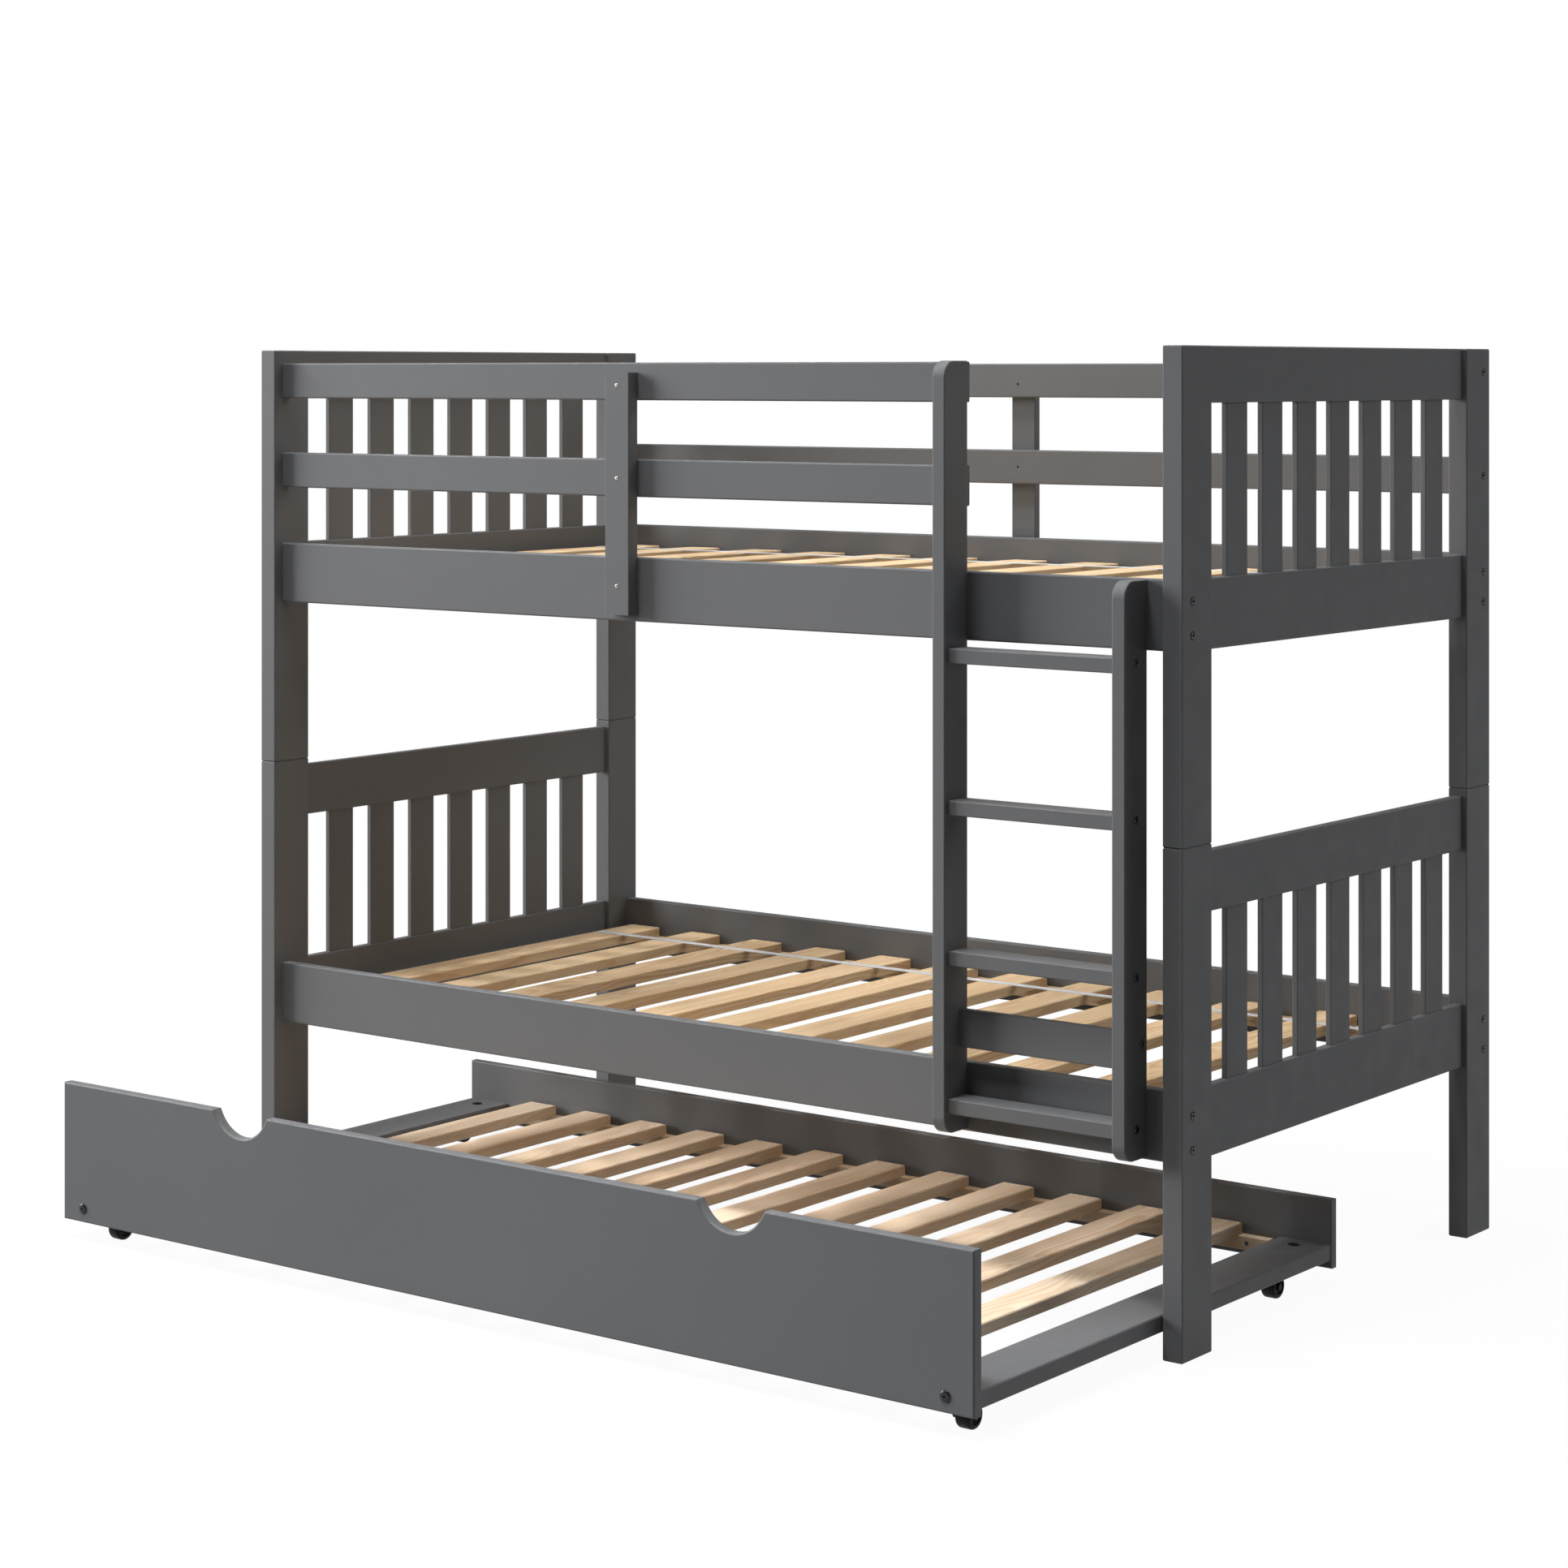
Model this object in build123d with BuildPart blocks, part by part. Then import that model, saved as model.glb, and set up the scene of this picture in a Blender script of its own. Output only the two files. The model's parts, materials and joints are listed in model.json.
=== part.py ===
from build123d import *
import os

# Bunk bed with a trundle on swivel casters. All sizes are in millimetres.
# +X runs along the bed towards the ladder end, +Y from the ladder side to the back, +Z up.
# The origin is on the floor, in the middle of the part's box with the trundle drawn part of the way out.

os.makedirs("parts", exist_ok=True)

# The bunk as a whole, over its posts
bed_length = 2022.0
bed_depth = 1069.0
bed_height = 1575.0
split_height = 796.0
post_width = 36.0
post_depth = 90.0
post_ease = 2.0
post_end_chamfer = 1.8

# Steel pins between the lower and the upper posts
pin_radius = 5.0
pin_length = 80.0
pin_clearance = 0.2

# End panels: two rails and upright slats between the posts
panel_rail_thickness = 18.0
panel_rail_ease = 3.0
low_rail_under = 302.3
low_rail_height = 112.0
lower_top_rail_drop = 13.0
lower_top_rail_height = 96.0
upper_top_rail_height = 90.0
tenon_length = 24.0
tenon_thickness = 10.0
tenon_shoulder = 14.0
panel_slat_count = 7
panel_slat_width = 65.3
panel_slat_thickness = 10.0
panel_slat_side_gap = 69.0
panel_slat_tongue = 12.0
panel_slat_ease = 1.2
joint_clearance = 0.15

# Side rails and guard rails
side_rail_thickness = 20.0
side_rail_ease = 3.0
front_rail_recess = 21.2
back_rail_recess = 13.8
guard_height_share = 0.181
guard_top_drop_share = 0.0672
guard_low_gap_share = 0.506
guard_end_setback = 10.0

# Upright boards that tie the guard rails to the upper side rails
upright_width = 53.5
front_upright_thickness = 25.0
back_upright_thickness = 18.0
upright_foot_rise = 12.0
upright_top_drop_share = 0.265
upright_ease = 1.5
front_upright_offset = 126.6
back_upright_offset = 23.3

# Decks of pine slats on cleats, tied by webbing straps
deck_slat_count = 12
deck_even_slat_count = 10
deck_slat_width = 78.0
deck_slat_thickness = 19.0
deck_slat_pitch_share = 0.0887
deck_slat_end_gap = 3.7
deck_slat_corner = 8.0
deck_slat_ease = 1.5
deck_post_gap = 21.8
lower_deck_drop = 53.3
upper_deck_drop = 42.3
cleat_width = 20.0
cleat_height = 24.0
cleat_end_gap = 42.0
cleat_ease = 1.5
strap_width = 20.0
strap_thickness = 1.0
strap_inset = 124.0
strap_end_inset = 6.0

# Ladder
ladder_width = 363.0
ladder_right_gap = 40.2
ladder_foot_rise = 4.2
stile_width = 24.0
stile_depth = 66.4
stile_corner = 26.0
stile_ease = 2.0
left_stile_drop = 23.0
right_stile_drop = 1.2
rung_height = 24.0
rung_depth = 50.0
rung_setback = 10.0
rung_corner = 2.0
rung_height_shares = (0.0504, 0.3139, 0.5823, 0.8532)
rung_bolt_rises = (3.2, 0.5, 4.2, 4.2)
brace_height = 60.6
brace_thickness = 18.0
brace_back_setback = 4.8
brace_ease = 2.0
brace_height_share = 0.1839
brace_bolt_rise = 13.0

# Bolts, barrel nuts and screws of the bunk
bolt_head_radius = 6.8
bolt_head_rise = 1.6
bolt_head_chamfer = 0.8
bolt_radius = 3.0
bolt_clearance = 0.3
rail_bolt_low = 23.2
rail_bolt_high = 76.7
upper_bolt_rise = 2.6
guard_top_bolt_drop_share = 0.262
nut_radius = 5.0
nut_length = 14.0
nut_inset = 30.0
nut_clearance = 0.15
nut_sink = 1.0
bolt_tip = 8.0
ladder_bolt_length = 60.0
ladder_rail_bolt_length = 52.0
ladder_rail_bolt_drop = 25.0
upright_bolt_radius = 2.0
upright_bolt_head_radius = 4.0
upright_bolt_head_rise = 1.0
upright_bolt_grip = 14.0
upright_top_bolt_rise_share = 0.394
upright_low_bolt_drop = 50.0
screw_radius = 2.0
screw_head_radius = 4.0
screw_head_rise = 0.8
screw_grip = 12.0
cleat_screw_count = 5
cleat_screw_end = 57.0

# Trundle, drawn out of the bunk by trundle_reach in front of the posts
trundle_reach = 517.5
trundle_side_gap = 1.0
trundle_front_bottom = 33.0
trundle_front_height = 242.0
trundle_front_thickness = 20.5
trundle_front_ease = 3.0
handhold_radius = 70.0
handhold_rise = 28.0
handhold_offset = 529.5
trundle_back_bottom = 29.0
trundle_back_height = 116.0
trundle_back_thickness = 19.0
trundle_back_ease = 3.0
trundle_frame_depth = 1044.8
end_board_width = 97.0
end_board_thickness = 28.0
end_board_bottom = 42.0
end_board_inset = 2.0
end_board_ease = 3.5
trundle_cleat_width = 20.0
trundle_cleat_height = 23.5
trundle_cleat_top = 64.7
trundle_cleat_end_gap = 10.0
trundle_slat_count = 12
trundle_slat_width = 65.5
trundle_slat_thickness = 19.7
trundle_slat_end_inset = 58.0
trundle_slat_end_gap = 6.5
trundle_slat_chamfer = 2.0
trundle_screw_count = 5
trundle_screw_end = 42.0

# Bolts of the trundle and the round pockets that hold their nuts
pocket_radius = 12.0
pocket_depth = 21.0
pocket_inset = 35.0
trundle_bolt_rise = 1.5
trundle_bolt_head_radius = 9.3
trundle_bolt_head_rise = 3.0
trundle_bolt_head_chamfer = 1.5
pocket_nut_thickness = 14.0
pocket_nut_clearance = 0.2

# Swivel casters with the wheel beside the stem
wheel_radius = 20.0
wheel_width = 26.0
wheel_rim_round = 5.0
wheel_dish_radius = 12.5
wheel_dish_depth = 3.0
axle_radius = 3.0
axle_cap_radius = 6.0
axle_cap_thickness = 1.6
running_clearance = 0.08
side_clearance = 0.3
pivot_end_inset = 66.0
pivot_front_inset = 53.4
pivot_back_inset = 98.3
caster_trail = 22.5
stem_radius = 4.0
stem_length = 17.0
socket_radius = 5.5
socket_depth = 20.0
socket_flange_radius = 9.0
socket_flange_thickness = 1.2
stem_hub_radius = 7.5
stem_hub_bottom = 12.0
cheek_thickness = 3.0
cheek_radius = 8.0

# Overrun of every cut past the face where it starts
overrun = 1.0

# Places worked out from the sizes above. walls and ends give the side of the bed as a sign.
walls = {"front": -1, "back": 1}
ends = {"left": -1, "right": 1}
front_extent = bed_depth / 2 + trundle_reach + trundle_bolt_head_rise
back_extent = bed_depth / 2 - back_rail_recess + back_upright_thickness + upright_bolt_head_rise
bed_y = (front_extent - back_extent) / 2
inner_x = bed_length / 2 - post_width
post_x = (bed_length - post_width) / 2
post_y = {wall: bed_y + walls[wall] * (bed_depth - post_depth) / 2 for wall in walls}
panel_span = bed_depth - 2 * post_depth
rail_recess = {"front": front_rail_recess, "back": back_rail_recess}
rail_y = {
    wall: bed_y + walls[wall] * (bed_depth / 2 - rail_recess[wall] - side_rail_thickness / 2) for wall in walls
}
rail_inner_y = {wall: rail_y[wall] - walls[wall] * side_rail_thickness / 2 for wall in walls}
rail_outer_y = {wall: rail_y[wall] + walls[wall] * side_rail_thickness / 2 for wall in walls}
level_base = {"lower": 0, "upper": split_height}
level_top = {"lower": split_height, "upper": bed_height}
rail_under = {level: level_base[level] + low_rail_under for level in level_base}
rail_top = {level: rail_under[level] + low_rail_height for level in level_base}
guard_zone = bed_height - rail_top["upper"]
guard_height = guard_height_share * guard_zone
guard_top = bed_height - guard_top_drop_share * guard_zone
guard_gaps = guard_top - rail_top["upper"] - 2 * guard_height
guard_under = {"top": guard_top - guard_height, "middle": rail_top["upper"] + guard_low_gap_share * guard_gaps}
guard_bolt_z = {
    "top": guard_top - guard_top_bolt_drop_share * guard_height,
    "middle": guard_under["middle"] + guard_height / 2,
}
rail_bolt_base = {"lower": rail_under["lower"], "upper": rail_under["upper"] + upper_bolt_rise}
deck_drop = {"lower": lower_deck_drop, "upper": upper_deck_drop}
deck_top = {level: rail_top[level] - deck_drop[level] for level in level_base}
deck_bottom = {level: deck_top[level] - deck_slat_thickness for level in level_base}
deck_y = (rail_inner_y["front"] + rail_inner_y["back"]) / 2
deck_inner_depth = rail_inner_y["back"] - rail_inner_y["front"]
upright_x = {"front": -front_upright_offset, "back": back_upright_offset}
upright_thickness = {"front": front_upright_thickness, "back": back_upright_thickness}
upright_foot = rail_under["upper"] + upright_foot_rise
upright_top = guard_top - upright_top_drop_share * guard_height
upright_bolt_z = {
    "top": guard_under["top"] + upright_top_bolt_rise_share * guard_height,
    "middle": guard_under["middle"] + guard_height / 2,
    "upper": rail_top["upper"] - upright_low_bolt_drop,
}
ladder_right_x = inner_x - ladder_right_gap
ladder_left_x = ladder_right_x - ladder_width
stile_x = {"left": ladder_left_x + stile_width / 2, "right": ladder_right_x - stile_width / 2}
stile_back_y = rail_outer_y["front"]
stile_front_y = stile_back_y - stile_depth
stile_foot = rail_under["lower"] + ladder_foot_rise
stile_top = {"left": bed_height - left_stile_drop, "right": rail_top["upper"] - right_stile_drop}
climb_height = stile_top["right"] - stile_foot
rung_z = [stile_foot + share * climb_height for share in rung_height_shares]
rung_bolt_z = [z + rise for z, rise in zip(rung_z, rung_bolt_rises)]
rung_y = stile_front_y + rung_setback + rung_depth / 2
brace_y = stile_back_y - brace_back_setback - brace_thickness / 2
brace_z = stile_foot + brace_height_share * climb_height
guard_front_end = stile_x["left"] + stile_width / 2 - guard_end_setback
trundle_front_y = bed_y - bed_depth / 2 - trundle_reach
trundle_inner_front_y = trundle_front_y + trundle_front_thickness
trundle_inner_back_y = trundle_inner_front_y + trundle_frame_depth
trundle_back_y = trundle_inner_back_y + trundle_back_thickness
trundle_length = 2 * (inner_x - trundle_side_gap)
trundle_front_top = trundle_front_bottom + trundle_front_height
end_board_x = trundle_length / 2 - end_board_inset - end_board_width / 2
end_board_inner_x = end_board_x - end_board_width / 2
end_board_top = end_board_bottom + end_board_thickness
trundle_bolt_z = end_board_bottom + end_board_thickness / 2 + trundle_bolt_rise
trundle_cleat_length = 2 * (end_board_inner_x - trundle_cleat_end_gap)
pocket_y = {"front": trundle_inner_front_y + pocket_inset, "back": trundle_inner_back_y - pocket_inset}
pivot_x = end_board_x + end_board_width / 2 - pivot_end_inset
pivot_y = {"front": trundle_inner_front_y + pivot_front_inset, "back": trundle_inner_back_y - pivot_back_inset}
cheek_offset = stem_hub_radius
wheel_offset = cheek_offset + cheek_thickness + side_clearance
wheel_middle_offset = wheel_offset + wheel_width / 2
caster_heading = {
    ("left", "front"): 1, ("left", "back"): -1, ("right", "front"): 1, ("right", "back"): 1,
}


# Sketch plane across the bed that faces the ladder side, at one Y
def facing_front(y):
    return Plane.XZ.offset(-y)


# Sketch plane that faces the right end, at one X, with the sketch's axes along Y and Z
def facing_right(x):
    return Plane.YZ.offset(x)


def keep(piece, name):
    piece.part.label = name
    export_step(piece.part, f"parts/{name}.step")


# Heights of the bolts that hold the rails to one post
def post_bolt_heights(level, end, wall):
    heights = [rail_bolt_base[level] + rail_bolt_low, rail_bolt_base[level] + rail_bolt_high]
    if level == "upper" and (end, wall) != ("right", "front"):
        heights += guard_bolt_z.values()
    return heights


# Underside and height of the two rails in an end panel
def panel_rails(level):
    top_drop = lower_top_rail_drop if level == "lower" else 0
    top_height = lower_top_rail_height if level == "lower" else upper_top_rail_height
    top_under = level_top[level] - top_drop - top_height
    return {"bottom": (rail_under[level], low_rail_height), "top": (top_under, top_height)}


# Places of the upright slats of an end panel, from post to post
def panel_slat_grid():
    pitch = (panel_span - 2 * panel_slat_side_gap - panel_slat_width) / (panel_slat_count - 1)
    return GridLocations(0, pitch, 1, panel_slat_count)


def make_post(level, end, wall):
    x = ends[end] * post_x
    side = walls[wall]
    inward = -1 if level == "lower" else 1
    with BuildPart() as post:
        with BuildSketch(Plane.XY.offset(level_base[level])):
            with Locations((x, post_y[wall])):
                RectangleRounded(post_width, post_depth, post_ease)
        extrude(amount=level_top[level] - level_base[level])
        chamfer(post.faces().filter_by(Axis.Z).edges(), length=post_end_chamfer)
        for under, height in panel_rails(level).values():
            with BuildSketch(facing_front(post_y[wall] - side * post_depth / 2)):
                with Locations((x, under + height / 2)):
                    Rectangle(
                        tenon_thickness + 2 * joint_clearance,
                        height - 2 * tenon_shoulder + 2 * joint_clearance,
                    )
            extrude(amount=-side * (tenon_length + joint_clearance), mode=Mode.SUBTRACT)
        with BuildSketch(facing_right(x)):
            with Locations(*[(rail_y[wall], z) for z in post_bolt_heights(level, end, wall)]):
                Circle(bolt_radius + bolt_clearance)
        extrude(amount=post_width / 2 + overrun, both=True, mode=Mode.SUBTRACT)
        with BuildSketch(Plane.XY.offset(split_height)):
            with Locations((x, post_y[wall])):
                Circle(pin_radius + pin_clearance)
        extrude(amount=inward * (pin_length / 2 + pin_clearance), mode=Mode.SUBTRACT)
    keep(post, f"{level}_post_{wall}_{end}")


def make_post_pins():
    with BuildPart() as pins:
        with BuildSketch(Plane.XY.offset(split_height - pin_length / 2)):
            with Locations(*[(ends[end] * post_x, post_y[wall]) for end in ends for wall in walls]):
                Circle(pin_radius)
        extrude(amount=pin_length)
    keep(pins, "post_pins")


# A rail of an end panel, with a tenon at each end and a mortise for each slat
def make_panel_rail(level, end, place):
    x = ends[end] * post_x
    under, height = panel_rails(level)[place]
    slat_face = under + height if place == "bottom" else under
    inward = -1 if place == "bottom" else 1
    with BuildPart() as rail:
        with BuildSketch(facing_front(bed_y)):
            with Locations((x, under + height / 2)):
                RectangleRounded(panel_rail_thickness, height, panel_rail_ease)
        extrude(amount=panel_span / 2, both=True)
        with BuildSketch(facing_front(bed_y)):
            with Locations((x, under + height / 2)):
                Rectangle(tenon_thickness, height - 2 * tenon_shoulder)
        extrude(amount=panel_span / 2 + tenon_length, both=True)
        with BuildSketch(Plane.XY.offset(slat_face)):
            with Locations((x, bed_y)):
                with panel_slat_grid():
                    Rectangle(
                        panel_slat_thickness + 2 * joint_clearance,
                        panel_slat_width + 2 * joint_clearance,
                    )
        extrude(amount=inward * (panel_slat_tongue + joint_clearance), mode=Mode.SUBTRACT)
    keep(rail, f"{level}_{end}_{place}_rail")


def make_panel_slats(level, end):
    rails = panel_rails(level)
    foot = sum(rails["bottom"]) - panel_slat_tongue
    top = rails["top"][0] + panel_slat_tongue
    with BuildPart() as slats:
        with BuildSketch(Plane.XY.offset(foot)):
            with Locations((ends[end] * post_x, bed_y)):
                with panel_slat_grid():
                    RectangleRounded(panel_slat_thickness, panel_slat_width, panel_slat_ease)
        extrude(amount=top - foot)
    keep(slats, f"{level}_{end}_panel_slats")


# A board on edge along the bed. bolted_ends names the ends that meet a post, where each bolt has a bore
# and a round hole for its nut. cross_bores gives the X, Z and radius of the bores through its thickness.
def make_side_board(name, wall, under, height, right_x, bolt_heights, bolted_ends, cross_bores):
    with BuildPart() as board:
        with BuildSketch(facing_right(-inner_x)):
            with Locations((rail_y[wall], under + height / 2)):
                RectangleRounded(side_rail_thickness, height, side_rail_ease)
        extrude(amount=right_x + inner_x)
        for end in bolted_ends:
            with BuildSketch(facing_right(ends[end] * inner_x)):
                with Locations(*[(rail_y[wall], z) for z in bolt_heights]):
                    Circle(bolt_radius + bolt_clearance)
            extrude(amount=-ends[end] * (nut_inset + bolt_tip), mode=Mode.SUBTRACT)
            with BuildSketch(facing_front(rail_y[wall] + side_rail_thickness / 2)):
                with Locations(*[(ends[end] * (inner_x - nut_inset), z) for z in bolt_heights]):
                    Circle(nut_radius + nut_clearance)
            extrude(amount=nut_length + nut_sink, mode=Mode.SUBTRACT)
        for x, z, radius in cross_bores:
            with BuildSketch(facing_front(rail_y[wall])):
                with Locations((x, z)):
                    Circle(radius)
            extrude(amount=side_rail_thickness / 2 + overrun, both=True, mode=Mode.SUBTRACT)
    keep(board, name)


# X and Z of the bolts that hold the ladder to the boards behind it, by board
def ladder_rail_bolts():
    bolts = {}
    for level in level_base:
        z = rail_top[level] - ladder_rail_bolt_drop
        bolts[level] = [(stile_x[end], z) for end in ends]
    left_edge = stile_x["left"] - stile_width / 2
    for place in guard_under:
        bolts[place] = [((left_edge + guard_front_end) / 2, guard_under[place] + guard_height / 2)]
    return bolts


# Bores across the boards of one wall: for the guard upright's bolts and, at the front, the ladder's
def cross_bores(wall, board):
    bores = []
    if board in upright_bolt_z:
        bores.append((upright_x[wall], upright_bolt_z[board], upright_bolt_radius + bolt_clearance))
    if wall == "front":
        bores += [(x, z, bolt_radius + bolt_clearance) for x, z in ladder_rail_bolts()[board]]
    return bores


def make_side_boards():
    for wall in walls:
        for level in level_base:
            heights = [rail_bolt_base[level] + rail_bolt_low, rail_bolt_base[level] + rail_bolt_high]
            make_side_board(
                f"{level}_{wall}_side_rail", wall, rail_under[level], low_rail_height, inner_x,
                heights, ["left", "right"], cross_bores(wall, level),
            )
        for place in guard_under:
            right_x = guard_front_end if wall == "front" else inner_x
            bolted = ["left"] if wall == "front" else ["left", "right"]
            make_side_board(
                f"{wall}_guard_{place}_rail", wall, guard_under[place], guard_height, right_x,
                [guard_bolt_z[place]], bolted, cross_bores(wall, place),
            )


# Upright that ties the guard rails to the upper side rail, on their outer faces
def make_guard_upright(wall):
    thickness = upright_thickness[wall]
    with BuildPart() as upright:
        with BuildSketch(Plane.XY.offset(upright_foot)):
            with Locations((upright_x[wall], rail_outer_y[wall] + walls[wall] * thickness / 2)):
                RectangleRounded(upright_width, thickness, upright_ease)
        extrude(amount=upright_top - upright_foot)
        with BuildSketch(facing_front(rail_outer_y[wall])):
            with Locations(*[(upright_x[wall], z) for z in upright_bolt_z.values()]):
                Circle(upright_bolt_radius + bolt_clearance)
        extrude(amount=thickness + overrun, both=True, mode=Mode.SUBTRACT)
    keep(upright, f"{wall}_guard_upright")


def make_upright_bolts():
    with BuildPart() as bolts:
        for wall in walls:
            head_y = rail_outer_y[wall] + walls[wall] * upright_thickness[wall]
            places = [(upright_x[wall], z) for z in upright_bolt_z.values()]
            with BuildSketch(facing_front(head_y)):
                with Locations(*places):
                    Circle(upright_bolt_radius)
            extrude(amount=walls[wall] * (upright_thickness[wall] + upright_bolt_grip))
            with BuildSketch(facing_front(head_y)):
                with Locations(*places):
                    Circle(upright_bolt_head_radius)
            extrude(amount=-walls[wall] * upright_bolt_head_rise)
    keep(bolts, "upright_bolts")


# X of the deck slats. The first ones keep one pitch and the rest share what is left up to the right end.
def deck_slat_places():
    last_x = inner_x - deck_post_gap - deck_slat_width / 2
    even_pitch = 2 * last_x * deck_slat_pitch_share
    even = [i * even_pitch - last_x for i in range(deck_even_slat_count)]
    wide_count = deck_slat_count - deck_even_slat_count
    wide_pitch = (last_x - even[-1]) / wide_count
    return even + [last_x - i * wide_pitch for i in range(wide_count)]


def make_deck_slats(level):
    with BuildPart() as slats:
        with BuildSketch(Plane.XY.offset(deck_bottom[level])):
            with Locations(*[(x, deck_y) for x in deck_slat_places()]):
                RectangleRounded(deck_slat_width, deck_inner_depth - 2 * deck_slat_end_gap, deck_slat_corner)
        extrude(amount=deck_slat_thickness)
        chamfer(slats.edges().group_by(Axis.Z)[-1], length=deck_slat_ease)
    keep(slats, f"{level}_deck_slats")


# Cleats on the inner faces of the side rails. They stop short of the nut holes in the rails.
def make_deck_cleats():
    with BuildPart() as cleats:
        for level in level_base:
            for wall in walls:
                with BuildSketch(facing_right(-inner_x + cleat_end_gap)):
                    with Locations((
                        rail_inner_y[wall] - walls[wall] * cleat_width / 2,
                        deck_bottom[level] - cleat_height / 2,
                    )):
                        RectangleRounded(cleat_width, cleat_height, cleat_ease)
                extrude(amount=2 * (inner_x - cleat_end_gap))
        for x, z in cleat_screw_places():
            with BuildSketch(facing_front(deck_y)):
                with Locations((x, z)):
                    Circle(screw_radius + bolt_clearance)
            extrude(amount=deck_inner_depth / 2 + overrun, both=True, mode=Mode.SUBTRACT)
    keep(cleats, "deck_cleats")


# X and Z of the screws in the deck cleats
def cleat_screw_places():
    last_x = inner_x - cleat_end_gap - cleat_screw_end
    pitch = 2 * last_x / (cleat_screw_count - 1)
    return [
        (i * pitch - last_x, deck_bottom[level] - cleat_height / 2)
        for level in level_base for i in range(cleat_screw_count)
    ]


# Screws that hold the cleats, from their free faces into the side rails
def make_cleat_screws():
    with BuildPart() as screws:
        for wall in walls:
            head_y = rail_inner_y[wall] - walls[wall] * cleat_width
            with BuildSketch(facing_front(head_y)):
                with Locations(*cleat_screw_places()):
                    Circle(screw_radius)
            extrude(amount=-walls[wall] * cleat_width)
            with BuildSketch(facing_front(head_y)):
                with Locations(*cleat_screw_places()):
                    Circle(screw_head_radius)
            extrude(amount=walls[wall] * screw_head_rise)
    keep(screws, "cleat_screws")


# Webbing straps that lie on the slats from the first to the last
def make_deck_straps():
    length = 2 * (inner_x - deck_post_gap - strap_end_inset)
    with BuildPart() as straps:
        for level in level_base:
            with BuildSketch(Plane.XY.offset(deck_top[level])):
                with Locations((0, deck_y)):
                    with GridLocations(0, deck_inner_depth - 2 * strap_inset, 1, len(walls)):
                        Rectangle(length, strap_width)
            extrude(amount=strap_thickness)
    keep(straps, "deck_straps")


# Upright side of the ladder, rounded at its free corners
def make_ladder_stile(end):
    height = stile_top[end] - stile_foot
    inner_face = stile_x[end] - ends[end] * stile_width / 2
    with BuildPart() as stile:
        with BuildSketch(facing_right(stile_x[end])) as side:
            with Locations((stile_back_y - stile_depth / 2, stile_foot + height / 2)):
                Rectangle(stile_depth, height)
            fillet(side.vertices().group_by(Axis.X)[0], radius=stile_corner)
        extrude(amount=stile_width / 2, both=True)
        fillet(stile.faces().filter_by(Axis.X).edges(), radius=stile_ease)
        with BuildSketch(facing_right(inner_face)):
            with Locations(*ladder_side_bolts()):
                Circle(bolt_radius + bolt_clearance)
        extrude(amount=stile_width + overrun, both=True, mode=Mode.SUBTRACT)
        with BuildSketch(facing_front(stile_back_y)):
            with Locations(*[place for place in stile_rail_bolts(end)]):
                Circle(bolt_radius + bolt_clearance)
        extrude(amount=ladder_rail_bolt_length, mode=Mode.SUBTRACT)
    keep(stile, f"ladder_stile_{end}")


# Y and Z of the bolts through both stiles, into the rungs and the brace
def ladder_side_bolts():
    return [(rung_y, z) for z in rung_bolt_z] + [(brace_y, brace_z + brace_bolt_rise)]


# X and Z of the bolts that come through the bed's boards into one stile
def stile_rail_bolts(end):
    places = [place for board in ladder_rail_bolts().values() for place in board]
    return [(x, z) for x, z in places if abs(x - stile_x[end]) < stile_width / 2]


def make_ladder_rungs():
    half_gap = (stile_x["right"] - stile_x["left"] - stile_width) / 2
    middle_x = (stile_x["left"] + stile_x["right"]) / 2
    with BuildPart() as rungs:
        with BuildSketch(facing_right(middle_x)):
            with Locations(*[(rung_y, z) for z in rung_z]):
                RectangleRounded(rung_depth, rung_height, rung_corner)
        extrude(amount=half_gap, both=True)
        for end in ends:
            with BuildSketch(facing_right(middle_x + ends[end] * half_gap)):
                with Locations(*[(rung_y, z) for z in rung_bolt_z]):
                    Circle(bolt_radius + bolt_clearance)
            extrude(amount=-ends[end] * ladder_bolt_length, mode=Mode.SUBTRACT)
    keep(rungs, "ladder_rungs")


def make_ladder_brace():
    half_gap = (stile_x["right"] - stile_x["left"] - stile_width) / 2
    middle_x = (stile_x["left"] + stile_x["right"]) / 2
    with BuildPart() as brace:
        with BuildSketch(facing_right(middle_x)):
            with Locations((brace_y, brace_z)):
                RectangleRounded(brace_thickness, brace_height, brace_ease)
        extrude(amount=half_gap, both=True)
        for end in ends:
            with BuildSketch(facing_right(middle_x + ends[end] * half_gap)):
                with Locations((brace_y, brace_z + brace_bolt_rise)):
                    Circle(bolt_radius + bolt_clearance)
            extrude(amount=-ends[end] * ladder_bolt_length, mode=Mode.SUBTRACT)
    keep(brace, "ladder_brace")


# Bolts through the stiles into the rungs and the brace, and through the bed's boards into the stiles
def make_ladder_bolts():
    with BuildPart() as bolts:
        for end in ends:
            with BuildSketch(facing_right(stile_x[end] + ends[end] * stile_width / 2)):
                with Locations(*ladder_side_bolts()):
                    Circle(bolt_radius)
            extrude(amount=-ends[end] * ladder_bolt_length)
            with BuildSketch(facing_right(stile_x[end] + ends[end] * stile_width / 2)):
                with Locations(*ladder_side_bolts()):
                    Circle(bolt_head_radius)
            extrude(amount=ends[end] * bolt_head_rise)
            with BuildSketch(facing_front(rail_inner_y["front"])):
                with Locations(*stile_rail_bolts(end)):
                    Circle(bolt_radius)
            extrude(amount=ladder_rail_bolt_length)
            with BuildSketch(facing_front(rail_inner_y["front"])):
                with Locations(*stile_rail_bolts(end)):
                    Circle(bolt_head_radius)
            extrude(amount=-bolt_head_rise)
    keep(bolts, "ladder_bolts")


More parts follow.
